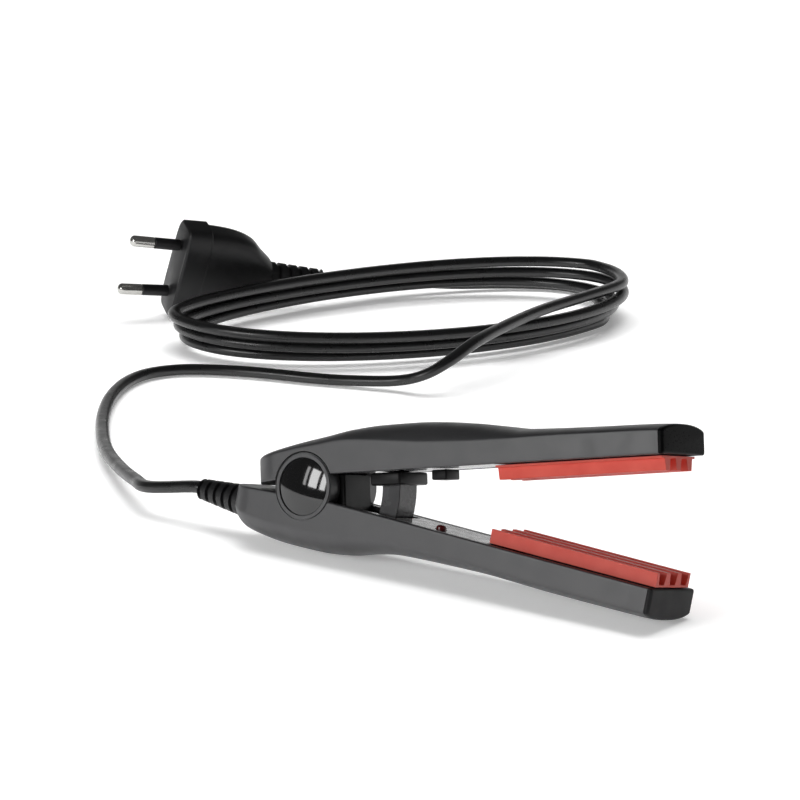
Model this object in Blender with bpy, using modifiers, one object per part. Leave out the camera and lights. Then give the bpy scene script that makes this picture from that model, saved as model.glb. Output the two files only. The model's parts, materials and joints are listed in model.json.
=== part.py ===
"""Mini hair crimper: two hinged arms with ridged heating plates, a mains cord and a two pin plug.

Units are metres and +Z is up. The crimper rests on the rounded outer face of its lower arm, rolled a
little away from the viewer and open, the way it lies in use. Every piece of an arm is modelled in that
arm's own axes: +X from the hinge to the tip, +Y across, +Z from the lower arm to the upper arm, with the
hinge centre at zero. Helper empties then place the arms. Cord and plug lie on the floor at z = 0.
"""
import math

import bmesh
import bpy
from mathutils import Matrix, Vector

# Stance of the crimper on the floor
STANCE_HINGE = (-0.0381, -0.0024, 0.01891)
STANCE_ROLL = math.radians(-14.2)
STANCE_PITCH = math.radians(2.8)
OPEN_ANGLE = math.radians(14.9)

# Arm casings
CASE_WIDTH = 0.0226
TIP_REACH = 0.1203
LOWER_REAR = -0.0270
UPPER_REAR = -0.0195
REAR_CORNER = 0.0090
CASE_WALL = 0.0018
ROOF_WALL = 0.0016
LOWER_FLAT = -0.0024
UPPER_FLAT = 0.0032
LOWER_REAR_FLAT = -0.0048
UPPER_REAR_FLAT = 0.0015
REAR_FLAT_START = -0.0090
LOWER_DEPTH = 0.0161
UPPER_DEPTH = 0.0136
CLEARANCE = 0.0003
OVERCUT = 0.0010
HALF = 0.5

# Crown of each casing: share of the tip reach, then share of the casing's greatest depth
LOWER_CROWN_SHARES = ((-0.2244, 0.60), (-0.205, 0.80), (-0.165, 0.93), (-0.06, 1.00), (0.04, 0.98),
                      (0.115, 0.91), (0.183, 0.775), (0.254, 0.67), (0.324, 0.63), (0.41, 0.60),
                      (0.54, 0.57), (0.71, 0.585), (0.865, 0.578), (0.97, 0.565), (1.0, 0.55))
UPPER_CROWN_SHARES = ((-0.162, 0.42), (-0.141, 0.53), (-0.105, 0.61), (-0.032, 0.74), (0.042, 0.84),
                      (0.116, 0.945), (0.19, 0.992), (0.285, 1.00), (0.357, 0.97), (0.442, 0.90),
                      (0.524, 0.80), (0.604, 0.71), (0.788, 0.665), (0.94, 0.645), (1.0, 0.62))
SIDE_SHARE = 0.64
ARCH_POWER = 2.7
ARCH_STEPS = 16
STATION_COUNT = 26

# Tip caps
TIP_CAP_THICKNESS = 0.0012

# Hinge
EAR_RADIUS = 0.0098
EAR_CLEARANCE = 0.00035
EAR_BEVEL = 0.0006
CAP_RADIUS = 0.0082
CAP_RECESS_RADIUS = CAP_RADIUS + CLEARANCE
CAP_RECESS_DEPTH = 0.0015
CAP_DOME_RISE = 0.0012
DOME_RIM_SHARES = (0.94, 0.80, 0.55, 0.28, 0.06)
DOME_RISE_SHARES = (0.25, 0.55, 0.83, 0.96, 1.0)
PIN_RADIUS = 0.0020
PIN_END_GAP = 0.0004
PIN_HALF_LENGTH = CASE_WIDTH * HALF - CAP_RECESS_DEPTH - PIN_END_GAP
PIN_BORE_RADIUS = PIN_RADIUS + CLEARANCE
KNUCKLE_RADIUS = 0.0074
KNUCKLE_HALF_WIDTH = 0.0064
KNUCKLE_SIDE_GAP = 0.0004
EAR_INNER = KNUCKLE_HALF_WIDTH + KNUCKLE_SIDE_GAP
KNUCKLE_BLOCK_HALF_WIDTH = KNUCKLE_HALF_WIDTH - KNUCKLE_SIDE_GAP
KNUCKLE_BLOCK_FRONT = 0.0112
KNUCKLE_BLOCK_BACK = 0.0040
KNUCKLE_BLOCK_DROP = 0.0080
KNUCKLE_BLOCK_TOP = 0.0029
KNUCKLE_NECK_BACK = -0.0062
KNUCKLE_NECK_FRONT = 0.0082
KNUCKLE_NECK_TOP = 0.0096
KNUCKLE_RIB_COUNT = 2
KNUCKLE_RIB_PITCH = 0.0032
KNUCKLE_RIB_WIDTH = 0.0011
KNUCKLE_RIB_PROUD = 0.0005

# Opening spring, its telescoping post and collar
SPRING_RADIUS = 0.00125
SPRING_WIRE_RADIUS = 0.00028
SPRING_ROOM = 0.00082
SPRING_TURNS = 9
SPRING_POINTS_A_TURN = 14
POST_WALL = 0.0007
POST_OUTER_RADIUS = 0.0289
POST_INNER_RADIUS = POST_OUTER_RADIUS - 2 * (SPRING_RADIUS + SPRING_WIRE_RADIUS + SPRING_ROOM + POST_WALL)
POST_MID_RADIUS = (POST_INNER_RADIUS + POST_OUTER_RADIUS) * HALF
POST_HALF_WIDTH = 0.00425
POST_FOOT_DROP = 0.010357
POST_FLOOR_DROP = 0.00845
POST_TOP_RISE = 0.00893
POST_FOOT_ANGLE = -math.asin(POST_FOOT_DROP / POST_OUTER_RADIUS)
POST_FLOOR_ANGLE = -math.asin(POST_FLOOR_DROP / POST_OUTER_RADIUS)
POST_TOP_ANGLE = math.asin(POST_TOP_RISE / POST_OUTER_RADIUS)
POST_OVERCUT_ANGLE = math.radians(3)
POST_ARC_STEPS = 10
COLLAR_BACK_WALL = 0.0022
COLLAR_FRONT_WALL = 0.0019
COLLAR_SIDE_WALL = 0.00295
COLLAR_BACK = POST_INNER_RADIUS - COLLAR_BACK_WALL
COLLAR_FRONT = POST_OUTER_RADIUS + COLLAR_FRONT_WALL
COLLAR_HALF_WIDTH = POST_HALF_WIDTH + COLLAR_SIDE_WALL
COLLAR_DROP = -0.0007
COLLAR_TOP = UPPER_FLAT - CLEARANCE
COLLAR_GAP = 0.0004
COLLAR_BEVEL = 0.0006
COLLAR_SLOT_LOW_ANGLE = math.radians(-12)
COLLAR_SLOT_HIGH_ANGLE = math.radians(18)
SPRING_FOOT_BACK = 0.00015
SPRING_FOOT_LIFT = 0.00295
SPRING_HEAD_FORWARD = 0.00303
SPRING_HEAD_RISE = 0.01384

# Inner covers
COVER_THICKNESS = 0.0014
COVER_SETBACK = 0.0001
COVER_HALF_WIDTH = CASE_WIDTH * HALF - CASE_WALL - CLEARANCE
COVER_BACK_GAP = 0.0009
COVER_BACK = EAR_RADIUS + COVER_BACK_GAP
PLATE_BACK = 0.0642
PLATE_COVER_GAP = 0.0010
COVER_FRONT = PLATE_BACK - PLATE_COVER_GAP
COVER_NOTCH_HALF_WIDTH = KNUCKLE_HALF_WIDTH + CLEARANCE
LOWER_NOTCH_GAP = 0.0009
LOWER_NOTCH_FRONT = POST_OUTER_RADIUS + LOWER_NOTCH_GAP
UPPER_NOTCH_GAP = 0.0004
UPPER_NOTCH_FRONT = KNUCKLE_BLOCK_FRONT + UPPER_NOTCH_GAP
UPPER_SLOT_BACK_GAP = 0.0006
UPPER_SLOT_BACK = POST_INNER_RADIUS - UPPER_SLOT_BACK_GAP
UPPER_SLOT_FRONT_GAP = 0.0011
UPPER_SLOT_FRONT = POST_OUTER_RADIUS + UPPER_SLOT_FRONT_GAP
UPPER_SLOT_SIDE_GAP = 0.00065
UPPER_SLOT_HALF_WIDTH = POST_HALF_WIDTH + UPPER_SLOT_SIDE_GAP
LUG_BACK = 0.0392
LUG_LENGTH = 0.0050
LUG_FRONT = LUG_BACK + LUG_LENGTH
LUG_HALF_WIDTH = 0.0035
LUG_DROP = 0.0001
LUG_BEVEL = 0.0004

# Pilot lamp
LAMP_X = 0.0452
LAMP_Y = -0.0050
LAMP_RADIUS = 0.0015
LAMP_BORE_RADIUS = LAMP_RADIUS + CLEARANCE
LAMP_RISE = 0.0014
LAMP_TOP = LOWER_FLAT - COVER_SETBACK + LAMP_RISE
LAMP_LENGTH = 0.0055
LAMP_FOOT = LAMP_TOP - LAMP_LENGTH
LAMP_DOME_SHARES = ((1.0, HALF), (0.87, 0.25), (HALF, 0.07), (0.1, 0))
BOARD_BACK_REACH = 0.0060
BOARD_FRONT_REACH = 0.0050
BOARD_BACK = LAMP_X - BOARD_BACK_REACH
BOARD_FRONT = LAMP_X + BOARD_FRONT_REACH
BOARD_HALF_WIDTH = 0.0034
BOARD_TOP = LAMP_FOOT - CLEARANCE
BOARD_THICKNESS = 0.0010

# Crimping plates
PLATE_WIDTH = 0.0171
LOWER_PLATE_SETBACK = 0.0008
UPPER_PLATE_SETBACK = 0.0019
LOWER_PLATE_FRONT = TIP_REACH - LOWER_PLATE_SETBACK
UPPER_PLATE_FRONT = TIP_REACH - UPPER_PLATE_SETBACK
PLATE_BASE = 0.0006
RIDGE_NEST_GAP = 0.0004
RIDGE_HEIGHT = UPPER_FLAT - LOWER_FLAT - 2 * (CLEARANCE + PLATE_BASE) - RIDGE_NEST_GAP
RIDGE_COUNT = 3
RIDGE_SIDE_GAP = 0.00035
RIDGE_FLANK = 0.0005
RIDGE_PITCH = PLATE_WIDTH / RIDGE_COUNT
RIDGE_HALF_WIDTH = (RIDGE_PITCH * HALF - RIDGE_SIDE_GAP) * HALF
PLATE_KEY_SIDE_STEP = 0.00075
PLATE_KEY_HALF_WIDTH = PLATE_WIDTH * HALF - PLATE_KEY_SIDE_STEP
PLATE_KEY_DEPTH = 0.0024
PLATE_KEY_BACK_STEP = 0.0028
PLATE_KEY_FRONT_STEP = 0.0043
PLATE_KEY_BACK = PLATE_BACK + PLATE_KEY_BACK_STEP
PLATE_KEY_FRONT = TIP_REACH - PLATE_KEY_FRONT_STEP
HEATER_THICKNESS = 0.0020
HEATER_SIDE_STEP = 0.00255
HEATER_BACK_STEP = 0.0078
HEATER_FRONT_STEP = 0.0103
HEATER_HALF_WIDTH = PLATE_WIDTH * HALF - HEATER_SIDE_STEP
HEATER_BACK = PLATE_BACK + HEATER_BACK_STEP
HEATER_FRONT = TIP_REACH - HEATER_FRONT_STEP
CARRIER_THICKNESS = 0.0010
CARRIER_SIDE_STEP = 0.00135
CARRIER_BACK_STEP = 0.0048
CARRIER_FRONT_STEP = 0.0063
CARRIER_HALF_WIDTH = PLATE_WIDTH * HALF - CARRIER_SIDE_STEP
CARRIER_BACK = PLATE_BACK + CARRIER_BACK_STEP
CARRIER_FRONT = TIP_REACH - CARRIER_FRONT_STEP

# Fasteners inside the arms
SCREW_SHANK_RADIUS = 0.0008
SCREW_HEAD_RADIUS = 0.0015
SCREW_HEAD_HEIGHT = 0.0010
SCREW_LENGTH = 0.0040
SCREW_INSET = 0.0072
SCREW_X = COVER_FRONT - SCREW_INSET
SCREW_Y = 0.0060

# Wiring inside the arms
WIRE_RADIUS = 0.0006
FUSE_RADIUS = 0.0012
FUSE_LENGTH = 0.0080
FUSE_INSET = 0.0087
FUSE_X = COVER_FRONT - FUSE_INSET
FUSE_Z = -0.0068
CLAMP_INSET = 0.0055
CLAMP_LENGTH = 0.0050
CLAMP_BACK = LOWER_REAR + CLAMP_INSET
CLAMP_FRONT = CLAMP_BACK + CLAMP_LENGTH
CLAMP_HALF_WIDTH = 0.0058
CLAMP_TOP = -0.0070
CLAMP_BOTTOM = -0.0132

# Strain relief on the crimper
RELIEF_Z = -0.0099
RELIEF_LENGTH = 0.0160
RELIEF_ROOT_RADIUS = 0.0047
RELIEF_END_RADIUS = 0.0031
RELIEF_NECK_RADIUS = 0.0026
RELIEF_BORE_RADIUS = RELIEF_NECK_RADIUS + CLEARANCE
RELIEF_RIB_COUNT = 5
RELIEF_GROOVE = 0.0009
RELIEF_FLANGE_STEP = 0.0005
RELIEF_FLANGE_RADIUS = RELIEF_BORE_RADIUS + RELIEF_FLANGE_STEP
RIB_EDGE_SHARES = (0.60, 0.66, 0.94)
RELIEF_FLANGE = 0.0012
RELIEF_FLANGE_GAP = 0.0008
RELIEF_SIDES = 20

# Mains cord, lying on the floor; positions are read against the hinge centre's floor point
CORD_RADIUS = 0.0017
CORD_STEP = 0.0075
LEAD_ROUTE = ((-0.1025, -0.0043, 0.0086), (-0.1135, 0.0027, 0.0072), (-0.1305, 0.0157, 0.0054),
              (-0.1500, 0.0327, 0.0038), (-0.1688, 0.0532, 0.0026), (-0.1835, 0.0717, 0.0022),
              (-0.1945, 0.0887, 0.0022), (-0.2017, 0.1045, 0.0022), (-0.2035, 0.1177, 0.0022),
              (-0.1985, 0.1282, 0.0022), (-0.1885, 0.1352, 0.0022), (-0.1744, 0.1409, 0.0022),
              (-0.1555, 0.1457, 0.0022), (-0.1430, 0.1500, 0.0024), (-0.1275, 0.1545, 0.0038),
              (-0.1170, 0.1562, 0.0072), (-0.1112, 0.1625, 0.0118), (-0.1105, 0.1750, 0.0152),
              (-0.1130, 0.1945, 0.0160), (-0.1160, 0.2200, 0.0160), (-0.1165, 0.2450, 0.0156))
COIL_CENTRE = (-0.1761, 0.2227)
COIL_HEADING = math.radians(57.3)
COIL_TURNS = 3
COIL_POINTS_A_TURN = 24
COIL_START = math.radians(-22)
COIL_HALF_LENGTHS = (0.0825, 0.0815, 0.0785, 0.0770)
COIL_BACK_HALF_WIDTHS = (0.0340, 0.0350, 0.0400, 0.0440)
COIL_FRONT_HALF_WIDTHS = (0.0500, 0.0530, 0.0480, 0.0420)
COIL_TOP = 0.0146
COIL_DROP = 0.0041
COIL_EGG_SHARE = 0.22
GAP_STEPS = 4

# Mains plug, standing on its narrow edge and leaning
PLUG_BASE = (-0.2487, 0.1885, 0.0188)
PLUG_HEADING = math.radians(55.1)
PLUG_LEAN = math.radians(19)
PLUG_DIP = math.radians(9)
PLUG_HALF_HEIGHT = 0.01765
PLUG_HALF_WIDTH = 0.00685
PLUG_LENGTH = 0.0345
PLUG_SECTION_SHARES = ((0, 0.97, 0.94), (0.02, 1.0, 1.0), (0.25, 1.0, 1.0), (0.27, 0.93, 0.95),
                       (0.62, 0.86, 0.93), (0.76, 0.74, 0.90), (0.88, 0.52, 0.84), (1.0, 0.32, 0.72))
PLUG_SIDES = 28
PLUG_POWER = 4.5
PLUG_RELIEF_LENGTH = 0.0205
PLUG_RELIEF_ROOT_RADIUS = 0.0046
PLUG_RELIEF_END_RADIUS = 0.0029
CONTACT_ROOT_SPREAD = 0.0093
CONTACT_TIP_SPREAD = 0.00875
CONTACT_LENGTH = 0.0190
CONTACT_RADIUS = 0.0020
CONTACT_CORE_RADIUS = 0.0012
CONTACT_TIP_SHARES = ((1.0, 0.7), (0.75, 0.25), (0.3, 0))
SLEEVE_LENGTH = 0.0097
SLEEVE_BORE_RADIUS = CONTACT_CORE_RADIUS + CLEARANCE
CONTACT_CORE_START = 0.0010
CONTACT_SIDES = 20

TUBE_SEGMENTS = 2


def clear_scene():
    """Remove whatever the file already holds."""
    for thing in list(bpy.data.objects):
        bpy.data.objects.remove(thing, do_unlink=True)
    for block in list(bpy.data.collections):
        bpy.data.collections.remove(block)


clear_scene()
PIECES = bpy.data.collections.new("mini_hair_crimper")
CUTTERS = bpy.data.collections.new("cutters")
bpy.context.scene.collection.children.link(PIECES)
bpy.context.scene.collection.children.link(CUTTERS)


def helper(name, location, rotation, parent=None):
    """Empty that places an arm."""
    thing = bpy.data.objects.new(name, None)
    thing.location = location
    thing.rotation_euler = rotation
    thing.parent = parent
    PIECES.objects.link(thing)
    return thing


STANCE_TURN = Matrix.Rotation(STANCE_ROLL, 3, "X") @ Matrix.Rotation(STANCE_PITCH, 3, "Y")
LOWER = helper("lower_arm_frame", STANCE_HINGE, STANCE_TURN.to_euler())
UPPER = helper("upper_arm_pivot", (0, 0, 0), (0, -OPEN_ANGLE, 0), LOWER)
PLUG_TURN = (Matrix.Rotation(PLUG_HEADING, 3, "Z") @ Matrix.Rotation(PLUG_LEAN, 3, "X")
             @ Matrix.Rotation(PLUG_DIP, 3, "Y"))
PLUG = helper("plug_frame", PLUG_BASE, PLUG_TURN.to_euler())


def paint(name, colour, roughness, metallic=0):
    """One plain material for a piece."""
    stuff = bpy.data.materials.new(name + "_finish")
    stuff.use_nodes = True
    shader = stuff.node_tree.nodes["Principled BSDF"]
    shader.inputs["Base Color"].default_value = (*colour, 1)
    shader.inputs["Roughness"].default_value = roughness
    shader.inputs["Metallic"].default_value = metallic
    stuff.diffuse_color = (*colour, 1)
    return stuff


CASE_GREY = (0.075, 0.075, 0.078)
BLACK = (0.018, 0.018, 0.019)
GLOSS_BLACK = (0.010, 0.010, 0.011)
CRIMP_RED = (0.48, 0.035, 0.035)
STEEL = (0.55, 0.55, 0.56)
LAMP_RED = (0.20, 0.01, 0.01)
BOARD_GREEN = (0.05, 0.16, 0.07)
CERAMIC = (0.70, 0.68, 0.62)
WIRE_WHITE = (0.72, 0.72, 0.70)
SILVER = (0.66, 0.66, 0.66)


def finish(thing, colour, roughness, metallic=0, smooth_angle=math.radians(32)):
    """Colour a piece and smooth its round faces."""
    thing.data.materials.clear()
    thing.data.materials.append(paint(thing.name, colour, roughness, metallic))
    if thing.type == "MESH":
        thing.data.shade_smooth()
        thing.data.set_sharp_from_angle(angle=smooth_angle)
    return thing


def mesh_object(name, parent, home=None):
    """Empty mesh object in the pieces or cutters collection."""
    thing = bpy.data.objects.new(name, bpy.data.meshes.new(name))
    thing.parent = parent
    (home or PIECES).objects.link(thing)
    if home is CUTTERS:
        thing.hide_render = True
        thing.display_type = "WIRE"
    return thing


def loft(name, rings, parent, home=None):
    """Closed skin through rings of points, capped flat at both ends."""
    thing = mesh_object(name, parent, home)
    work = bmesh.new()
    rows = [[work.verts.new(point) for point in ring] for ring in rings]
    count = len(rows[0])
    for first, second in zip(rows, rows[1:]):
        for k in range(count):
            work.faces.new((first[k], first[(k + 1) % count], second[(k + 1) % count], second[k]))
    work.faces.new(tuple(reversed(rows[0])))
    work.faces.new(tuple(rows[-1]))
    bmesh.ops.recalc_face_normals(work, faces=work.faces)
    work.to_mesh(thing.data)
    work.free()
    return thing


def box(name, low, high, parent, home=None):
    """Block between two opposite corners."""
    thing = mesh_object(name, parent, home)
    work = bmesh.new()
    size = [top - bottom for bottom, top in zip(low, high)]
    middle = [(top + bottom) * HALF for bottom, top in zip(low, high)]
    place = Matrix.Translation(middle) @ Matrix.Diagonal((*size, 1))
    bmesh.ops.create_cube(work, size=1, matrix=place)
    work.to_mesh(thing.data)
    work.free()
    return thing


def cylinder(name, centre, radius, low, high, parent, axis="Y", sides=48, home=None):
    """Round bar along one axis between two stations."""
    thing = mesh_object(name, parent, home)
    work = bmesh.new()
    turn = {"X": Matrix.Rotation(math.radians(90), 4, "Y"), "Y": Matrix.Rotation(math.radians(-90), 4, "X"),
            "Z": Matrix.Identity(4)}[axis]
    middle = (low + high) * HALF
    spot = {"X": (middle, centre[0], centre[1]), "Y": (centre[0], middle, centre[1]),
            "Z": (centre[0], centre[1], middle)}[axis]
    bmesh.ops.create_cone(work, cap_ends=True, segments=sides, radius1=radius, radius2=radius,
                          depth=high - low, matrix=Matrix.Translation(spot) @ turn)
    work.to_mesh(thing.data)
    work.free()
    return thing


def cut(thing, tool, operation="DIFFERENCE"):
    """Boolean with an exact solver."""
    step = thing.modifiers.new(tool.name, "BOOLEAN")
    step.operation = operation
    step.solver = "EXACT"
    step.object = tool


def soften(thing, width, segments=2, angle=math.radians(40)):
    """Small rounded edge."""
    step = thing.modifiers.new("edge", "BEVEL")
    step.width = width
    step.segments = segments
    step.limit_method = "ANGLE"
    step.angle_limit = angle
    step.use_clamp_overlap = True


def straight(pairs, place):
    """Straight value between hand chosen stations."""
    for (a, low), (b, high) in zip(pairs, pairs[1:]):
        if place <= b:
            part = max(0.0, (place - a) / (b - a))
            return low + (high - low) * part
    return pairs[-1][1]


def hermite(pairs, place):
    """Value on a smooth curve through hand chosen stations, without overshoot."""
    spots = [a for a, _ in pairs]
    if place <= spots[0]:
        return pairs[0][1]
    if place >= spots[-1]:
        return pairs[-1][1]
    slopes = [(pairs[k + 1][1] - pairs[k][1]) / (spots[k + 1] - spots[k]) for k in range(len(pairs) - 1)]
    tangents = [slopes[0]]
    for k in range(1, len(slopes)):
        before, after = slopes[k - 1], slopes[k]
        tangents.append(0.0 if before * after <= 0 else 2 * before * after / (before + after))
    tangents.append(slopes[-1])
    for k in range(len(pairs) - 1):
        if place <= spots[k + 1]:
            run = spots[k + 1] - spots[k]
            t = (place - spots[k]) / run
            low, high = pairs[k][1], pairs[k + 1][1]
            return ((2 * t ** 3 - 3 * t ** 2 + 1) * low + (t ** 3 - 2 * t ** 2 + t) * run * tangents[k]
                    + (3 * t ** 2 - 2 * t ** 3) * high + (t ** 3 - t ** 2) * run * tangents[k + 1])
    return pairs[-1][1]


def arch(x, half_width, flat, side, crown, steps=ARCH_STEPS):
    """Closed section: flat inner side, straight flanks, arched outer side."""
    ring = [Vector((x, -half_width, flat))]
    for k in range(steps + 1):
        angle = math.pi * (1 - k / steps)
        c, s = math.cos(angle), math.sin(angle)
        y = half_width * math.copysign(abs(c) ** (2 / ARCH_POWER), c)
        z = side + (crown - side) * abs(s) ** (2 / ARCH_POWER)
        ring.append(Vector((x, y, z)))
    ring.append(Vector((x, half_width, flat)))
    return ring


def case_stations(rear, front):
    """Stations along a casing, close together where the rear corners turn."""
    spots = [rear + REAR_CORNER * (1 - math.cos(math.radians(90) * k / 5)) for k in range(6)]
    last = spots[-1]
    spots += [last + (front - last) * k / STATION_COUNT for k in range(1, STATION_COUNT + 1)]
    return spots


def half_width_at(x, rear, inset=0.0):
    """Plan outline: straight flanks with rounded rear corners."""
    corner = max(REAR_CORNER - inset, CLEARANCE)
    full = CASE_WIDTH * HALF - inset
    run = x - (rear + inset)
    if run >= corner:
        return full
    run = max(run, 0.0)
    return full - corner + math.sqrt(max(corner ** 2 - (corner - run) ** 2, 0.0))


def casing(name, rear, main_flat, rear_flat, depth, shares, outward, parent, front):
    """Outer block of an arm and the hollow that is taken out of it."""
    flat_of = ((rear, rear_flat), (REAR_FLAT_START, (rear_flat + main_flat) * HALF),
               (0.0, main_flat), (TIP_REACH, main_flat))
    rings = []
    for x in case_stations(rear, front):
        flat = straight(flat_of, x)
        deep = hermite(shares, x / TIP_REACH) * depth
        crown = main_flat + outward * deep
        side = main_flat + outward * deep * SIDE_SHARE
        rings.append(arch(x, half_width_at(x, rear), flat, side, crown))
    block = loft(name, rings, parent)
    hollow_rings = []
    spots = [rear + CASE_WALL + REAR_CORNER * (1 - math.cos(math.radians(90) * k / 4)) for k in range(5)]
    spots = [x for x in spots if x < REAR_FLAT_START - CASE_WALL]
    spots += [REAR_FLAT_START - CASE_WALL, REAR_FLAT_START]
    first = REAR_FLAT_START
    spots += [first + (front + OVERCUT - first) * k / STATION_COUNT for k in range(1, STATION_COUNT + 1)]
    for x in spots:
        flat = straight(flat_of, x)
        roofed = x < REAR_FLAT_START - CASE_WALL * HALF
        flat = flat + outward * ROOF_WALL if roofed else main_flat - outward * OVERCUT
        deep = hermite(shares, x / TIP_REACH) * depth - CASE_WALL
        crown = main_flat + outward * deep
        side = main_flat + outward * deep * SIDE_SHARE
        hollow_rings.append(arch(x, half_width_at(x, rear, CASE_WALL), flat, side, crown))
    hollow = loft(name + "_hollow", hollow_rings, parent, CUTTERS)
    cut(block, hollow)
    return block


def tip_cap(name, main_flat, depth, shares, outward, parent):
    """Flat plate that closes the end of an arm."""
    start = TIP_REACH - TIP_CAP_THICKNESS
    deep = hermite(shares, 1.0) * depth
    rings = [arch(x, CASE_WIDTH * HALF, main_flat, main_flat + outward * deep * SIDE_SHARE,
                  main_flat + outward * deep) for x in (start, TIP_REACH)]
    cap = loft(name, rings, parent)
    soften(cap, CLEARANCE)
    return cap


def lathe(name, profile, parent, axis="Y", sides=40, home=None, centre=(0, 0, 0)):
    """Turned solid from pairs of radius and station along its axis."""
    rings = []
    for radius, station in profile:
        ring = []
        for k in range(sides):
            angle = math.tau * k / sides
            a, b = radius * math.cos(angle), radius * math.sin(angle)
            spot = {"X": (station, a, b), "Y": (a, station, b), "Z": (a, b, station)}[axis]
            ring.append(Vector(spot) + Vector(centre))
        rings.append(ring)
    return loft(name, rings, parent, home)


# Casings
case_front = TIP_REACH - TIP_CAP_THICKNESS - CLEARANCE
lower_housing = casing("lower_housing", LOWER_REAR, LOWER_FLAT, LOWER_REAR_FLAT, LOWER_DEPTH,
                       LOWER_CROWN_SHARES, -1, LOWER, case_front)
upper_housing = casing("upper_housing", UPPER_REAR, UPPER_FLAT, UPPER_REAR_FLAT, UPPER_DEPTH,
                       UPPER_CROWN_SHARES, 1, UPPER, case_front)

half_case = CASE_WIDTH * HALF
for side_name, sign in (("near", -1), ("far", 1)):
    low, high = sorted((sign * EAR_INNER, sign * half_case))
    ear = cylinder("ear_" + side_name, (0, 0), EAR_RADIUS, low, high, LOWER, home=CUTTERS, sides=56)
    soften(ear, EAR_BEVEL, segments=2)
    cut(lower_housing, ear, "UNION")
    recess_floor = half_case - CAP_RECESS_DEPTH
    low, high = sorted((sign * recess_floor, sign * (half_case + OVERCUT)))
    recess = cylinder("cap_recess_" + side_name, (0, 0), CAP_RECESS_RADIUS, low, high, LOWER,
                      home=CUTTERS, sides=48)
    cut(lower_housing, recess)
    low, high = sorted((sign * (EAR_INNER - EAR_CLEARANCE), sign * (half_case + OVERCUT)))
    room = cylinder("ear_room_" + side_name, (0, 0), EAR_RADIUS + EAR_CLEARANCE, low, high, UPPER,
                    home=CUTTERS, sides=56)
    cut(upper_housing, room)
    crown = half_case + CAP_DOME_RISE
    seat = recess_floor + CLEARANCE
    rim = half_case - CLEARANCE * HALF
    dome_rings = [(CAP_RADIUS, sign * seat), (CAP_RADIUS, sign * rim)]
    dome_rings += [(CAP_RADIUS * wide, sign * (rim + (crown - rim) * rise))
                   for wide, rise in zip(DOME_RIM_SHARES, DOME_RISE_SHARES)]
    cap = lathe("hinge_cap_" + side_name, dome_rings, LOWER, sides=40)
    finish(cap, GLOSS_BLACK, 0.12)

bore = cylinder("pin_bore", (0, 0), PIN_BORE_RADIUS, -half_case, half_case, LOWER, home=CUTTERS, sides=32)
cut(lower_housing, bore)
relief_hole = cylinder("relief_hole", (0, RELIEF_Z), RELIEF_BORE_RADIUS, LOWER_REAR - OVERCUT,
                       LOWER_REAR + CASE_WALL + OVERCUT, LOWER, axis="X", home=CUTTERS, sides=32)
cut(lower_housing, relief_hole)
finish(lower_housing, CASE_GREY, 0.55)
finish(upper_housing, CASE_GREY, 0.55)

lower_tip_cap = tip_cap("lower_tip_cap", LOWER_FLAT, LOWER_DEPTH, LOWER_CROWN_SHARES, -1, LOWER)
upper_tip_cap = tip_cap("upper_tip_cap", UPPER_FLAT, UPPER_DEPTH, UPPER_CROWN_SHARES, 1, UPPER)
finish(lower_tip_cap, BLACK, 0.40)
finish(upper_tip_cap, BLACK, 0.25)

# Hinge pin and knuckle
pin = cylinder("hinge_pin", (0, 0), PIN_RADIUS, -PIN_HALF_LENGTH, PIN_HALF_LENGTH, LOWER, sides=24)
finish(pin, STEEL, 0.30, 1)
knuckle = cylinder("hinge_knuckle", (0, 0), KNUCKLE_RADIUS, -KNUCKLE_HALF_WIDTH, KNUCKLE_HALF_WIDTH, UPPER,
                   sides=40)
block = box("knuckle_block", (KNUCKLE_BLOCK_BACK, -KNUCKLE_BLOCK_HALF_WIDTH, -KNUCKLE_BLOCK_DROP),
            (KNUCKLE_BLOCK_FRONT, KNUCKLE_BLOCK_HALF_WIDTH, KNUCKLE_BLOCK_TOP), UPPER, CUTTERS)
neck = box("knuckle_neck", (KNUCKLE_NECK_BACK, -KNUCKLE_BLOCK_HALF_WIDTH + CLEARANCE, 0),
           (KNUCKLE_NECK_FRONT, KNUCKLE_BLOCK_HALF_WIDTH - CLEARANCE, KNUCKLE_NECK_TOP), UPPER, CUTTERS)
cut(knuckle, block, "UNION")
cut(knuckle, neck, "UNION")
for k in range(KNUCKLE_RIB_COUNT):
    start = KNUCKLE_BLOCK_FRONT - KNUCKLE_RIB_WIDTH - CLEARANCE - KNUCKLE_RIB_PITCH * k
    reach = KNUCKLE_BLOCK_HALF_WIDTH + KNUCKLE_RIB_PROUD
    rib = box("knuckle_rib_" + str(k), (start, -reach, -KNUCKLE_BLOCK_DROP + CLEARANCE),
              (start + KNUCKLE_RIB_WIDTH, reach, KNUCKLE_BLOCK_TOP - CLEARANCE), UPPER, CUTTERS)
    cut(knuckle, rib, "UNION")
knuckle_bore = cylinder("knuckle_bore", (0, 0), PIN_BORE_RADIUS, -KNUCKLE_HALF_WIDTH - OVERCUT,
                        KNUCKLE_HALF_WIDTH + OVERCUT, UPPER, home=CUTTERS, sides=32)
cut(knuckle, knuckle_bore)
finish(knuckle, BLACK, 0.45)


def sector(name, inner, outer, low_angle, high_angle, half_width, parent, home=None):
    """Curved bar centred on the hinge axis, rectangular across."""
    rings = []
    for k in range(POST_ARC_STEPS + 1):
        angle = low_angle + (high_angle - low_angle) * k / POST_ARC_STEPS
        c, s = math.cos(angle), math.sin(angle)
        rings.append([Vector((radius * c, y, radius * s)) for radius, y in
                      ((inner, -half_width), (outer, -half_width), (outer, half_width), (inner, half_width))])
    return loft(name, rings, parent, home)


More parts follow.
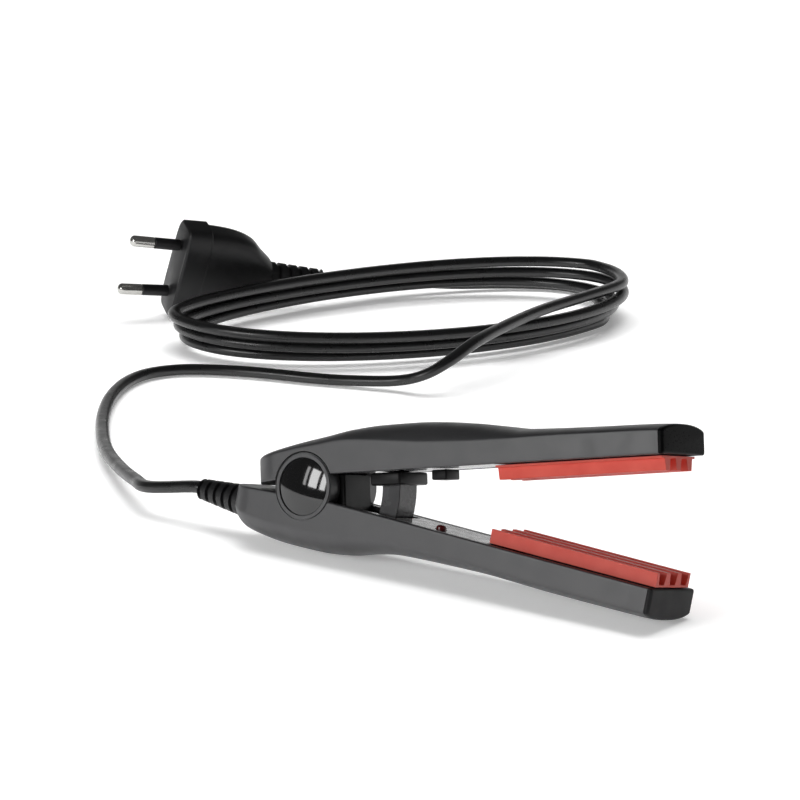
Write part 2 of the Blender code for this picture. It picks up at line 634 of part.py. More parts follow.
# Telescoping post, collar and spring
post = sector("spring_post", POST_INNER_RADIUS, POST_OUTER_RADIUS, POST_FOOT_ANGLE, POST_TOP_ANGLE,
              POST_HALF_WIDTH, LOWER)
post_hollow = sector("post_hollow", POST_INNER_RADIUS + POST_WALL, POST_OUTER_RADIUS - POST_WALL,
                     POST_FLOOR_ANGLE, POST_TOP_ANGLE + POST_OVERCUT_ANGLE, POST_HALF_WIDTH - POST_WALL,
                     LOWER, CUTTERS)
cut(post, post_hollow)
finish(post, BLACK, 0.40)
collar = box("spring_collar", (COLLAR_BACK, -COLLAR_HALF_WIDTH, COLLAR_DROP),
             (COLLAR_FRONT, COLLAR_HALF_WIDTH, COLLAR_TOP), UPPER)
soften(collar, COLLAR_BEVEL)
collar_slot = sector("collar_slot", POST_INNER_RADIUS - COLLAR_GAP, POST_OUTER_RADIUS + COLLAR_GAP,
                     COLLAR_SLOT_LOW_ANGLE, COLLAR_SLOT_HIGH_ANGLE, POST_HALF_WIDTH + COLLAR_GAP, UPPER,
                     CUTTERS)
cut(collar, collar_slot)
finish(collar, BLACK, 0.30)


def tube(name, points, radius, parent, resolution=TUBE_SEGMENTS):
    """Round tube through points, closed at both ends."""
    data = bpy.data.curves.new(name, "CURVE")
    data.dimensions = "3D"
    data.bevel_depth = radius
    data.bevel_resolution = resolution
    data.use_fill_caps = True
    line = data.splines.new("POLY")
    line.points.add(len(points) - 1)
    for spot, point in zip(line.points, points):
        spot.co = (*point, 1)
    thing = bpy.data.objects.new(name, data)
    thing.parent = parent
    PIECES.objects.link(thing)
    return thing


def paint_tube(thing, colour, roughness):
    """Colour of a tube."""
    thing.data.materials.append(paint(thing.name, colour, roughness))
    for line in thing.data.splines:
        line.use_smooth = True


foot = Vector((POST_MID_RADIUS - SPRING_FOOT_BACK, 0, SPRING_FOOT_LIFT - POST_FLOOR_DROP))
head_in_upper = Vector((POST_MID_RADIUS + SPRING_HEAD_FORWARD, 0, SPRING_HEAD_RISE))
head = Matrix.Rotation(-OPEN_ANGLE, 3, "Y") @ head_in_upper
along = (head - foot).normalized()
across = Vector((0, 1, 0))
third = along.cross(across)
spring_points = []
for k in range(SPRING_TURNS * SPRING_POINTS_A_TURN + 1):
    angle = math.tau * k / SPRING_POINTS_A_TURN
    share = k / (SPRING_TURNS * SPRING_POINTS_A_TURN)
    spring_points.append(foot + (head - foot) * share
                         + (across * math.cos(angle) + third * math.sin(angle)) * SPRING_RADIUS)
spring = tube("opening_spring", spring_points, SPRING_WIRE_RADIUS, LOWER, 1)
paint_tube(spring, STEEL, 0.3)

# Inner covers
lower_cover_top = LOWER_FLAT - COVER_SETBACK
lower_cover = box("lower_inner_cover", (COVER_BACK, -COVER_HALF_WIDTH, lower_cover_top - COVER_THICKNESS),
                  (COVER_FRONT, COVER_HALF_WIDTH, lower_cover_top), LOWER)
notch = box("lower_cover_notch", (COVER_BACK - OVERCUT, -COVER_NOTCH_HALF_WIDTH, LOWER_FLAT - LOWER_DEPTH),
            (LOWER_NOTCH_FRONT, COVER_NOTCH_HALF_WIDTH, LOWER_FLAT + OVERCUT), LOWER, CUTTERS)
cut(lower_cover, notch)
lamp_bore = cylinder("lamp_bore", (LAMP_X, LAMP_Y), LAMP_BORE_RADIUS, LOWER_FLAT - LOWER_DEPTH * HALF,
                     LOWER_FLAT + OVERCUT, LOWER, axis="Z", home=CUTTERS, sides=28)
cut(lower_cover, lamp_bore)
finish(lower_cover, CASE_GREY, 0.30)
upper_cover_top = UPPER_FLAT + COVER_SETBACK
upper_cover = box("upper_inner_cover", (COVER_BACK, -COVER_HALF_WIDTH, upper_cover_top),
                  (COVER_FRONT, COVER_HALF_WIDTH, upper_cover_top + COVER_THICKNESS), UPPER)
notch = box("upper_cover_notch", (COVER_BACK - OVERCUT, -COVER_NOTCH_HALF_WIDTH, UPPER_FLAT - OVERCUT),
            (UPPER_NOTCH_FRONT, COVER_NOTCH_HALF_WIDTH, UPPER_FLAT + UPPER_DEPTH), UPPER, CUTTERS)
cut(upper_cover, notch)
slot = box("upper_cover_slot", (UPPER_SLOT_BACK, -UPPER_SLOT_HALF_WIDTH, UPPER_FLAT - OVERCUT),
           (UPPER_SLOT_FRONT, UPPER_SLOT_HALF_WIDTH, UPPER_FLAT + UPPER_DEPTH), UPPER, CUTTERS)
cut(upper_cover, slot)
finish(upper_cover, CASE_GREY, 0.30)
lug = box("stop_lug", (LUG_BACK, -LUG_HALF_WIDTH, LUG_DROP),
          (LUG_FRONT, LUG_HALF_WIDTH, UPPER_FLAT + COVER_SETBACK - CLEARANCE), UPPER)
soften(lug, LUG_BEVEL)
finish(lug, BLACK, 0.30)

# Pilot lamp and its board
lamp_profile = [(LAMP_RADIUS, LAMP_FOOT)]
lamp_profile += [(LAMP_RADIUS * wide, LAMP_TOP - LAMP_RADIUS * drop) for wide, drop in LAMP_DOME_SHARES]
lamp = lathe("pilot_lamp", lamp_profile, LOWER, axis="Z", sides=24, centre=(LAMP_X, LAMP_Y, 0))
finish(lamp, LAMP_RED, 0.2)
board = box("lamp_board", (BOARD_BACK, LAMP_Y - BOARD_HALF_WIDTH, BOARD_TOP - BOARD_THICKNESS),
            (BOARD_FRONT, LAMP_Y + BOARD_HALF_WIDTH, BOARD_TOP), LOWER)
finish(board, BOARD_GREEN, 0.5)


def ridge_line(phase):
    """Ridges across a plate as pairs of place and height; phase is the first ridge's place in pitches."""
    edge = PLATE_WIDTH * HALF
    tip, root = RIDGE_HALF_WIDTH - RIDGE_FLANK * HALF, RIDGE_HALF_WIDTH + RIDGE_FLANK * HALF
    line = []
    for k in range(RIDGE_COUNT + 1):
        centre = RIDGE_PITCH * (k + phase) - edge
        line += [(centre - root, 0), (centre - tip, RIDGE_HEIGHT)]
        line += [(centre + tip, RIDGE_HEIGHT), (centre + root, 0)]
    inner = [(y, rise) for y, rise in line if abs(y) < edge]
    return [(-edge, inner[0][1])] + inner + [(edge, inner[-1][1])]


def crimp_plate(name, flat, outward, front, phase, parent):
    """Ridged plate: ridges run along it, with a key that goes into the casing."""
    seat = flat - outward * CLEARANCE
    valley = seat - outward * PLATE_BASE
    rings = []
    for x in (PLATE_BACK, front):
        ring = [Vector((x, -PLATE_WIDTH * HALF, seat))]
        ring += [Vector((x, y, valley - outward * rise)) for y, rise in ridge_line(phase)]
        ring.append(Vector((x, PLATE_WIDTH * HALF, seat)))
        rings.append(ring)
    plate = loft(name, rings, parent)
    low, high = sorted((seat - outward * PLATE_BASE * HALF, seat + outward * PLATE_KEY_DEPTH))
    key = box(name + "_key", (PLATE_KEY_BACK, -PLATE_KEY_HALF_WIDTH, low),
              (PLATE_KEY_FRONT, PLATE_KEY_HALF_WIDTH, high), parent, CUTTERS)
    cut(plate, key, "UNION")
    finish(plate, CRIMP_RED, 0.35)
    top = flat + outward * PLATE_KEY_DEPTH
    low, high = sorted((top, top + outward * HEATER_THICKNESS))
    heater = box(name.replace("crimp_plate", "heater"), (HEATER_BACK, -HEATER_HALF_WIDTH, low),
                 (HEATER_FRONT, HEATER_HALF_WIDTH, high), parent)
    finish(heater, CERAMIC, 0.5)
    depth = PLATE_KEY_DEPTH + HEATER_THICKNESS + CLEARANCE
    low, high = sorted((flat + outward * depth, flat + outward * (depth + CARRIER_THICKNESS)))
    carrier = box(name.replace("crimp_plate", "plate_carrier"), (CARRIER_BACK, -CARRIER_HALF_WIDTH, low),
                  (CARRIER_FRONT, CARRIER_HALF_WIDTH, high), parent)
    finish(carrier, BLACK, 0.5)


crimp_plate("lower_crimp_plate", LOWER_FLAT, -1, LOWER_PLATE_FRONT, 0, LOWER)
crimp_plate("upper_crimp_plate", UPPER_FLAT, 1, UPPER_PLATE_FRONT, HALF, UPPER)


def cover_screw(name, y, flat, outward, parent):
    """Screw that holds an inner cover from inside the arm."""
    top = flat + outward * (COVER_SETBACK + COVER_THICKNESS + CLEARANCE)
    profile = ((SCREW_HEAD_RADIUS, top), (SCREW_HEAD_RADIUS, top + outward * SCREW_HEAD_HEIGHT),
               (SCREW_SHANK_RADIUS, top + outward * (SCREW_HEAD_HEIGHT + CLEARANCE * HALF)),
               (SCREW_SHANK_RADIUS, top + outward * SCREW_LENGTH))
    screw = lathe(name, profile, parent, axis="Z", sides=16, centre=(SCREW_X, y, 0))
    finish(screw, STEEL, 0.35, 1)


for side_name, sign in (("near", -1), ("far", 1)):
    cover_screw("lower_cover_screw_" + side_name, sign * SCREW_Y, LOWER_FLAT, -1, LOWER)
    cover_screw("upper_cover_screw_" + side_name, sign * SCREW_Y, UPPER_FLAT, 1, UPPER)


def smooth_route(points, step):
    """Points along a smooth curve through hand chosen points, evenly spaced."""
    line = [Vector(point) for point in points]
    ends = [line[0] * 2 - line[1]] + line + [line[-1] * 2 - line[-2]]
    fine = []
    for a, b, c, d in zip(ends, ends[1:], ends[2:], ends[3:]):
        for k in range(24):
            t = k / 24
            fine.append((b * 2 + (c - a) * t + (a * 2 - b * 5 + c * 4 - d) * t ** 2
                         + (b * 3 - a - c * 3 + d) * t ** 3) * HALF)
    fine.append(line[-1])
    total = sum((b - a).length for a, b in zip(fine, fine[1:]))
    count = max(2, round(total / step))
    spaced, walked, target, index = [fine[0]], 0.0, total / count, 1
    for a, b in zip(fine, fine[1:]):
        run = (b - a).length
        while index < count and walked + run >= target * index:
            spaced.append(a.lerp(b, (target * index - walked) / run))
            index += 1
        walked += run
    spaced.append(fine[-1])
    return spaced


# Wiring inside the arms
WIRE_STEP = 0.0050
LOWER_WIRE_ROUTE = ((-0.0155, 0.0045, -0.0104), (-0.0050, 0.0055, -0.0102), (0.0080, 0.0056, -0.0100),
                    (0.0200, 0.0056, -0.0095), (0.0330, 0.0062, -0.0084), (0.0430, 0.0064, -0.0076),
                    (0.0500, 0.0042, -0.0066), (0.0555, 0.0028, -0.0062), (0.0620, 0.0022, -0.0060),
                    (0.0700, 0.0020, -0.0058))
UPPER_WIRE_ROUTE = ((0.0100, 0.0030, 0.0072), (0.0190, 0.0062, 0.0080), (0.0300, 0.0066, 0.0085),
                    (0.0440, 0.0046, 0.0084), (0.0550, 0.0026, 0.0074), (0.0700, 0.0020, 0.0066))
lower_wire = tube("lower_heater_wire", smooth_route(LOWER_WIRE_ROUTE, WIRE_STEP), WIRE_RADIUS, LOWER, 1)
paint_tube(lower_wire, WIRE_WHITE, 0.5)
upper_wire = tube("upper_heater_wire", smooth_route(UPPER_WIRE_ROUTE, WIRE_STEP), WIRE_RADIUS, UPPER, 1)
paint_tube(upper_wire, WIRE_WHITE, 0.5)
fuse = cylinder("thermal_fuse", (0, FUSE_Z), FUSE_RADIUS, FUSE_X - FUSE_LENGTH * HALF,
                FUSE_X + FUSE_LENGTH * HALF, LOWER, axis="X", sides=20)
finish(fuse, SILVER, 0.4)
clamp = box("cord_clamp", (CLAMP_BACK, -CLAMP_HALF_WIDTH, CLAMP_BOTTOM),
            (CLAMP_FRONT, CLAMP_HALF_WIDTH, CLAMP_TOP), LOWER)
finish(clamp, BLACK, 0.5)


def ribbed(name, start, direction, length, root, end, parent, centre, neck=None, sides=RELIEF_SIDES):
    """Tapered sleeve with ribs, made along X."""
    profile = list(neck or [])
    pitch = length / RELIEF_RIB_COUNT
    for k in range(RELIEF_RIB_COUNT):
        share = k / RELIEF_RIB_COUNT
        radius = root + (end - root) * share
        at = start + direction * pitch * k
        land, slope, floor = (at + direction * pitch * part for part in RIB_EDGE_SHARES)
        profile += [(radius, at), (radius, land)]
        profile += [(radius - RELIEF_GROOVE, slope), (radius - RELIEF_GROOVE, floor)]
    profile.append((end, start + direction * length))
    return lathe(name, profile, parent, axis="X", sides=sides, centre=centre)


flange_start = LOWER_REAR + CASE_WALL + RELIEF_FLANGE_GAP
relief_neck = [(RELIEF_FLANGE_RADIUS, flange_start + RELIEF_FLANGE), (RELIEF_FLANGE_RADIUS, flange_start),
               (RELIEF_NECK_RADIUS, flange_start), (RELIEF_NECK_RADIUS, LOWER_REAR - CLEARANCE)]
relief = ribbed("strain_relief", LOWER_REAR - CLEARANCE, -1, RELIEF_LENGTH, RELIEF_ROOT_RADIUS,
                RELIEF_END_RADIUS, LOWER, (0, 0, RELIEF_Z), relief_neck)
finish(relief, BLACK, 0.45)

# Plug
def plug_section(x, half_height, half_width):
    """Rounded section of the plug."""
    ring = []
    for k in range(PLUG_SIDES):
        angle = math.tau * k / PLUG_SIDES
        c, s = math.cos(angle), math.sin(angle)
        ring.append(Vector((x, half_width * math.copysign(abs(c) ** (2 / PLUG_POWER), c),
                            half_height * math.copysign(abs(s) ** (2 / PLUG_POWER), s))))
    return ring


plug_rings = [plug_section(PLUG_LENGTH * share, PLUG_HALF_HEIGHT * tall, PLUG_HALF_WIDTH * wide)
              for share, tall, wide in PLUG_SECTION_SHARES]
plug_body = loft("plug_body", plug_rings, PLUG)
finish(plug_body, BLACK, 0.5)
plug_relief = ribbed("plug_relief", PLUG_LENGTH + CLEARANCE, 1, PLUG_RELIEF_LENGTH, PLUG_RELIEF_ROOT_RADIUS,
                     PLUG_RELIEF_END_RADIUS, PLUG, (0, 0, 0))
finish(plug_relief, BLACK, 0.5)
tilt = math.atan2(CONTACT_ROOT_SPREAD - CONTACT_TIP_SPREAD, CONTACT_LENGTH)
for side_name, sign in (("top", 1), ("bottom", -1)):
    seat = helper("contact_frame_" + side_name, (0, 0, sign * CONTACT_ROOT_SPREAD), (0, sign * tilt, 0), PLUG)
    tip = -CONTACT_LENGTH
    start = -SLEEVE_LENGTH - CLEARANCE * 2
    contact_profile = [(CONTACT_CORE_RADIUS, -CONTACT_CORE_START), (CONTACT_CORE_RADIUS, start),
                       (CONTACT_RADIUS, start)]
    contact_profile += [(CONTACT_RADIUS * wide, tip + CONTACT_RADIUS * back)
                        for wide, back in CONTACT_TIP_SHARES]
    contact = lathe("plug_contact_" + side_name, contact_profile, seat, axis="X", sides=CONTACT_SIDES)
    finish(contact, STEEL, 0.22, 1)
    sleeve = lathe("contact_sleeve_" + side_name,
                   ((CONTACT_RADIUS, -CLEARANCE * 2), (CONTACT_RADIUS, -SLEEVE_LENGTH - CLEARANCE)),
                   seat, axis="X", sides=CONTACT_SIDES)
    sleeve_bore = cylinder("sleeve_bore_" + side_name, (0, 0), SLEEVE_BORE_RADIUS, -SLEEVE_LENGTH - OVERCUT,
                           OVERCUT, seat, axis="X", home=CUTTERS, sides=CONTACT_SIDES)
    cut(sleeve, sleeve_bore)
    finish(sleeve, BLACK, 0.5)

# Cord
bpy.context.view_layer.update()
relief_end = LOWER.matrix_world @ Vector((LOWER_REAR - CLEARANCE * 2 - RELIEF_LENGTH, 0, RELIEF_Z))
relief_axis = (LOWER.matrix_world.to_3x3() @ Vector((-1, 0, 0))).normalized()
plug_end = PLUG.matrix_world @ Vector((PLUG_LENGTH + CLEARANCE * 2 + PLUG_RELIEF_LENGTH, 0, 0))
plug_axis = (PLUG.matrix_world.to_3x3() @ Vector((1, 0, 0))).normalized()
diameter = CORD_RADIUS * 2


def coil_point(turn):
    """Place on the coil after a number of turns."""
    whole = min(int(turn), len(COIL_HALF_LENGTHS) - 2)
    part = turn - whole
    angle = COIL_START + math.tau * turn
    c, s = math.cos(angle), math.sin(angle)
    widths = COIL_BACK_HALF_WIDTHS if s > 0 else COIL_FRONT_HALF_WIDTHS
    wide = widths[whole] + (widths[whole + 1] - widths[whole]) * part
    if s > 0:
        wide *= 1 + COIL_EGG_SHARE * c
    long = COIL_HALF_LENGTHS[whole] + (COIL_HALF_LENGTHS[whole + 1] - COIL_HALF_LENGTHS[whole]) * part
    reach, offset = long * c, wide * s
    ch, sh = math.cos(COIL_HEADING), math.sin(COIL_HEADING)
    return Vector((COIL_CENTRE[0] + reach * ch - offset * sh, COIL_CENTRE[1] + reach * sh + offset * ch,
                   COIL_TOP - COIL_DROP * turn))


coil_points = [coil_point(k / COIL_POINTS_A_TURN) for k in range(COIL_TURNS * COIL_POINTS_A_TURN + 1)]
coil_in = (coil_points[1] - coil_points[0]).normalized()
coil_out = (coil_points[-1] - coil_points[-2]).normalized()
join = CLEARANCE

lead_start = relief_end
lead_end = coil_points[0] - coil_in * join
lead_points = [lead_start, lead_start + relief_axis * diameter]
lead_points += [Vector(point) for point in LEAD_ROUTE]
lead_points += [lead_end - coil_in * diameter, lead_end]
lead_line = [lead_start] + smooth_route(lead_points[1:-1], CORD_STEP) + [lead_end]
lead = tube("cord_lead", lead_line, CORD_RADIUS, None)
paint_tube(lead, BLACK, 0.35)
coil = tube("cord_coil", coil_points, CORD_RADIUS, None, 1)
paint_tube(coil, BLACK, 0.35)

TAIL_ROUTE = ((-0.1515, 0.3052, 0.0023), (-0.1756, 0.2987, 0.0023), (-0.1943, 0.2795, 0.0032),
              (-0.2087, 0.2579, 0.0066))
tail_start = coil_points[-1] + coil_out * join
tail_points = [tail_start + coil_out * diameter] + [Vector(point) for point in TAIL_ROUTE]
tail_points += [plug_end + plug_axis * diameter]
tail_line = [tail_start] + smooth_route(tail_points, CORD_STEP) + [plug_end]
tail = tube("cord_tail", tail_line, CORD_RADIUS, None)
paint_tube(tail, BLACK, 0.35)


def run_length(points):
    """Length of a broken line."""
    return sum((b - a).length for a, b in zip(points, points[1:]))


def least_gap(points, radius):
    """Least distance between parts of a tube that are not neighbours."""
    skip = COIL_POINTS_A_TURN // 3
    spans = []
    fine = []
    for a, b in zip(points, points[1:]):
        fine += [a.lerp(b, k / GAP_STEPS) for k in range(GAP_STEPS)]
    for i, a in enumerate(fine):
        spans += [(a - b).length for b in fine[i + skip * GAP_STEPS:]]
    return min(spans) - radius * 2


print("least gap of the cord coil to itself", round(least_gap(coil_points, CORD_RADIUS), 5))
print("cord length", round(run_length(lead_line) + run_length(coil_points) + run_length(tail_line), 4))
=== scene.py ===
# %% [markdown]
# A mini hair crimper with its cord and plug. The jointed model comes first, as a fixed frame: it gives
# every piece its place, and the looks are built over it in the same metres. The shapes of the arms,
# the cord and the plug are then worked out again with numpy, finer than the frame needs them.

import json
import math

import bmesh
import bpy
import numpy as np
from mathutils import Matrix

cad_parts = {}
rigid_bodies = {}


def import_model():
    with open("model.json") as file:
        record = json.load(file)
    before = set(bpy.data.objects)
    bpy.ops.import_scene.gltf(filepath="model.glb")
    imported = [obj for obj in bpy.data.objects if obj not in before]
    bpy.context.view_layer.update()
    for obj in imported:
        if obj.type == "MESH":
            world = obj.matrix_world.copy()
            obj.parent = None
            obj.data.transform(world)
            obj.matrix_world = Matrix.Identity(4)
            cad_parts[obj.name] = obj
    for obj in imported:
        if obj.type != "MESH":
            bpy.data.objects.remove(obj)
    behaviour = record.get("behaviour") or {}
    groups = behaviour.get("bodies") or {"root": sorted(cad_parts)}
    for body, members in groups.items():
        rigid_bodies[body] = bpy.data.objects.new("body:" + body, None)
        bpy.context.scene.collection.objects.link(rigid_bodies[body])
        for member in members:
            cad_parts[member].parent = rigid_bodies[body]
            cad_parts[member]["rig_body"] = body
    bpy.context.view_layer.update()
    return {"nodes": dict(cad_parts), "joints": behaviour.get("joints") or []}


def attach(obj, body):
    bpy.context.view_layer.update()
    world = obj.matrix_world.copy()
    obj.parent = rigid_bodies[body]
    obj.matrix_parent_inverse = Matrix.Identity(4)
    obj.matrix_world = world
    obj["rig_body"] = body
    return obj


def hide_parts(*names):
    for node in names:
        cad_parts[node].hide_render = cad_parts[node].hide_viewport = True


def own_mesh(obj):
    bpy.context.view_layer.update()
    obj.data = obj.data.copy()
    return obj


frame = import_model()
nodes = frame["nodes"]

# %% [markdown]
# The photograph was taken with a long lens from the front right, a little above the table. A long lens
# keeps the far plug nearly as large as the near tips. Its place and its focal length come from fitting
# the standard pins of the plug and the edges of the arms.

# %% Camera
CAMERA_PLACE = (0.6774, -0.9475, 0.3600)
CAMERA_TARGET = (-0.1198, 0.1457, 0.0003)
LENS_MM, SENSOR_MM, NEAR_CLIP = 192.8, 36, 0.05


def facing(place, target):
    """Matrix of a camera or lamp at a place, looking at a target along its own -Z: right = look x up,
    upright = right x look, and the third column is the look turned round."""
    place, target = np.array(place, float), np.array(target, float)
    look = (target - place) / np.linalg.norm(target - place)
    right = np.cross(look, (0.0, 0.0, 1.0))
    right /= np.linalg.norm(right)
    turn = np.eye(4)
    turn[:3, 0], turn[:3, 1], turn[:3, 2], turn[:3, 3] = right, np.cross(right, look), -look, place
    return Matrix(turn.tolist())


def put(name, data):
    """New object for a mesh, a lamp or a camera, linked to the scene."""
    thing = bpy.data.objects.new(name, data)
    bpy.context.scene.collection.objects.link(thing)
    return thing


camera_data = bpy.data.cameras.new("camera")
camera_data.lens = LENS_MM
camera_data.sensor_width = SENSOR_MM
camera_data.clip_start = NEAR_CLIP
camera = put("camera", camera_data)
camera.matrix_world = facing(CAMERA_PLACE, CAMERA_TARGET)
bpy.context.scene.camera = camera
print("camera distance in m", round(math.dist(CAMERA_PLACE, CAMERA_TARGET), 3))

# %% [markdown]
# Colours are written as the hex values that a screen shows. Blender's shaders want linear light, so one
# function turns each value: the screen's curve is a short straight run near black and a power of 2.4
# above it.

# %% Colour
def linear(hex_value):
    """sRGB hex to linear red, green and blue, with a full alpha: c/12.92 below 0.04045, and
    ((c + 0.055) / 1.055) to the power 2.4 above."""
    c = np.array([int(hex_value[k:k + 2], 16) for k in (1, 3, 5)]) / 255
    c = np.where(c <= 0.04045, c / 12.92, ((c + 0.055) / 1.055) ** 2.4)
    return (*c.tolist(), 1.0)


MM = 0.001
print("the paper's white in linear light", round(linear("#F4F4F4")[0], 3))

# %% [markdown]
# A material here is a Principled shader with a few nodes in front of it. The nodes could be wired one
# call at a time, but that hides what the surface does under bookkeeping. One helper adds any node with
# its settings and what feeds it, so that each material below reads as a list of its layers.

# %% Node helper
def add_node(tree, kind, settings=None, feeds=None):
    """Add a node of a kind. Settings are its properties, and feeds maps a socket's name or number to
    a value or to another node's output."""
    node = tree.nodes.new(kind)
    for name, value in (settings or {}).items():
        setattr(node, name, value)
    for name, value in (feeds or {}).items():
        if isinstance(value, bpy.types.NodeSocket):
            tree.links.new(value, node.inputs[name])
        else:
            node.inputs[name].default_value = value
    return node


def new_material(name, **sockets):
    """A material with a Principled shader and its plain numbers; underscores in a socket's name stand
    for spaces."""
    material = bpy.data.materials.new(name)
    material.use_nodes = True
    shader = material.node_tree.nodes["Principled BSDF"]
    for socket, value in sockets.items():
        shader.inputs[socket.replace("_", " ")].default_value = value
    return material, material.node_tree, shader


NOISE_SPAN = {"From Min": 0.3, "From Max": 0.7}
print("noise is read between", NOISE_SPAN["From Min"], "and", NOISE_SPAN["From Max"])

# %% [markdown]
# Real plastic and metal have three things in common: a colour that drifts a little, a sheen that is
# uneven, and a fine relief. Wiring them anew for each finish would hide what differs between finishes, so
# each layer is a function that reads a noise. The noise has patches of a real size in millimetres.

# %% Layers of a finish
def noise(tree, place, size_mm, detail, roughness=0.5):
    """Noise at a place whose patches have a size in millimetres: its scale is 1 / size."""
    feeds = {"Vector": place, "Scale": 1 / (size_mm * MM), "Detail": detail, "Roughness": roughness}
    return add_node(tree, "ShaderNodeTexNoise", {}, feeds).outputs["Fac"]


def tint(tree, shader, amount, dark, light):
    """Base colour = dark + (light - dark) s, where the noise n gives the share s = clip((n - 0.3) / 0.4)."""
    share = add_node(tree, "ShaderNodeMapRange", {}, {"Value": amount, **NOISE_SPAN})
    colour = add_node(tree, "ShaderNodeMix", {"data_type": "RGBA"},
                      {"Factor": share.outputs["Result"], 6: linear(dark), 7: linear(light)})
    tree.links.new(colour.outputs[2], shader.inputs["Base Color"])


def vary_sheen(tree, shader, amount, low, high):
    """Roughness = low + (high - low) s, with the same share s."""
    share = add_node(tree, "ShaderNodeMapRange", {},
                     {"Value": amount, **NOISE_SPAN, "To Min": low, "To Max": high})
    tree.links.new(share.outputs["Result"], shader.inputs["Roughness"])


def emboss(tree, shader, amount, depth_mm):
    """Relief: the noise as a bump of a depth in millimetres."""
    bump = add_node(tree, "ShaderNodeBump", {}, {"Height": amount, "Distance": depth_mm * MM})
    tree.links.new(bump.outputs["Normal"], shader.inputs["Normal"])


print("layers of a finish: tint, sheen and relief")

# %% [markdown]
# The casings are injection moulded ABS in dark grey. Their mould is spark eroded, which leaves a fine
# even grain of about 0.2 mm that breaks reflections into a soft sheen. A photograph of grained plastic
# could be wrapped on, but noise in real millimetres fits any shape and needs no seam. The grain is drawn
# at 0.4 mm, because a finer one would be lost at this size. Handling leaves the sheen uneven from one
# spot to the next, so the roughness drifts over some millimetres.

# %% Moulded ABS
def moulded_abs(name, dark, light, roughness, grain_mm=0.4, depth_mm=0.012, gloss=0.5):
    """Grained plastic: a drift of colour over 9 mm, a drift of roughness by 0.05 either way over 5 mm, and
    the grain as relief. Gloss 0.5 is the plastic's own reflection. A texture that swallows part of it has
    less, and a surface wiped to a shine has more."""
    material, tree, shader = new_material(name, IOR=1.53, Specular_IOR_Level=gloss)
    place = add_node(tree, "ShaderNodeTexCoord").outputs["Object"]
    tint(tree, shader, noise(tree, place, 9, 3.0), dark, light)
    vary_sheen(tree, shader, noise(tree, place, 5, 4.0), roughness - 0.05, roughness + 0.05)
    emboss(tree, shader, noise(tree, place, grain_mm, 3.0, 0.6), depth_mm)
    return material


# Name, dark, light, roughness, grain in mm, depth in mm, gloss.
casing_abs = moulded_abs("grained_dark_grey_abs", "#363638", "#3C3C3E", 0.43, gloss=0.8)
cover_abs = moulded_abs("satin_dark_grey_abs", "#434345", "#49494B", 0.20, 0.6, 0.003)
black_abs = moulded_abs("satin_black_abs", "#101011", "#151516", 0.40, 0.5, 0.006, 0.18)
post_abs = moulded_abs("satin_grey_abs_post", "#3A3A3C", "#424244", 0.26, 0.5, 0.006)
# Lower end cap: its darker grey is partly painted shade of an end face turned away from the lamps.
lower_cap_abs_painted_shade = moulded_abs("grained_abs_end_painted_shade", "#262627", "#2D2D2E", 0.48, 0.4, 0.010, 0.12)
plug_pvc = moulded_abs("moulded_black_pvc", "#18181A", "#202021", 0.42, 0.6, 0.012, 0.35)
print("moulded finishes:", *(m.name for m in (casing_abs, cover_abs, black_abs, post_abs, lower_cap_abs_painted_shade, plug_pvc)))

# %% [markdown]
# The hinge cap is polished ABS under a clear lacquer: nearly no grain, so that the lamps and the horizon show
# in it. A perfect mirror would look like glass, so a faint waviness of the moulding bends the reflections and
# fine wiping marks lift the roughness here and there. The upper end is smooth too, but it stands almost black
# beside a white table. So its gloss is turned down nearly to none, and its near black colour is painted shade
# of an end face that turns away from the lamps.

# %% Polished ABS
def polished_abs(name, colour, roughness, lacquer=0.0, wave_mm=0.010, gloss=0.5):
    """Gloss plastic: marks of 0.7 mm swing the roughness from 0.7 to 1.5 times its mean, and a wave
    6 mm long is the relief."""
    material, tree, shader = new_material(name, Base_Color=linear(colour), IOR=1.53, Coat_Weight=lacquer,
                                          Coat_Roughness=0.04, Specular_IOR_Level=gloss)
    place = add_node(tree, "ShaderNodeTexCoord").outputs["Object"]
    vary_sheen(tree, shader, noise(tree, place, 0.7, 5.0, 0.7), roughness * 0.7, roughness * 1.5)
    emboss(tree, shader, noise(tree, place, 6, 1.0), wave_mm)
    return material


gloss_abs = polished_abs("polished_black_abs", "#0C0C0D", 0.07, 0.5, 0.006)
# Upper end cap: its near black is painted shade of an end face turned away from the lamps.
upper_cap_abs_painted_shade = polished_abs("polished_abs_end_painted_shade", "#101011", 0.30, gloss=0.03)
print("polished finishes:", gloss_abs.name, upper_cap_abs_painted_shade.name)

# %% [markdown]
# The crimping plates are aluminium with a sprayed and fired ceramic coat in coral red. Painting them one
# flat red would look like plastic. The real coat is smooth to the touch but has the fine orange peel of
# a spray, about 1 mm across, a low sheen, and a red that deepens a little where the spray lay thicker.

# %% Ceramic coat
def ceramic_coat(name, dark, light):
    """Sprayed coat: two close reds that drift over 7 mm, and a 0.9 mm peel in roughness and relief."""
    material, tree, shader = new_material(name, IOR=1.5, Specular_IOR_Level=0.42)
    place = add_node(tree, "ShaderNodeTexCoord").outputs["Object"]
    tint(tree, shader, noise(tree, place, 7, 2.0), dark, light)
    peel = noise(tree, place, 0.9, 2.0)
    vary_sheen(tree, shader, peel, 0.36, 0.48)
    emboss(tree, shader, peel, 0.008)
    return material


coral_coat = ceramic_coat("coral_ceramic_coat", "#F05545", "#F86252")
print("coat:", coral_coat.name)

# %% [markdown]
# The plug's pins are brass with a nickel plate, drawn and then polished along their length. The hinge's
# pin, the screws and the spring are plain steel. A brushed metal picture would do the same from one side
# only. Here the noise is stretched along the drawing, so that each piece has its lines all the way round.

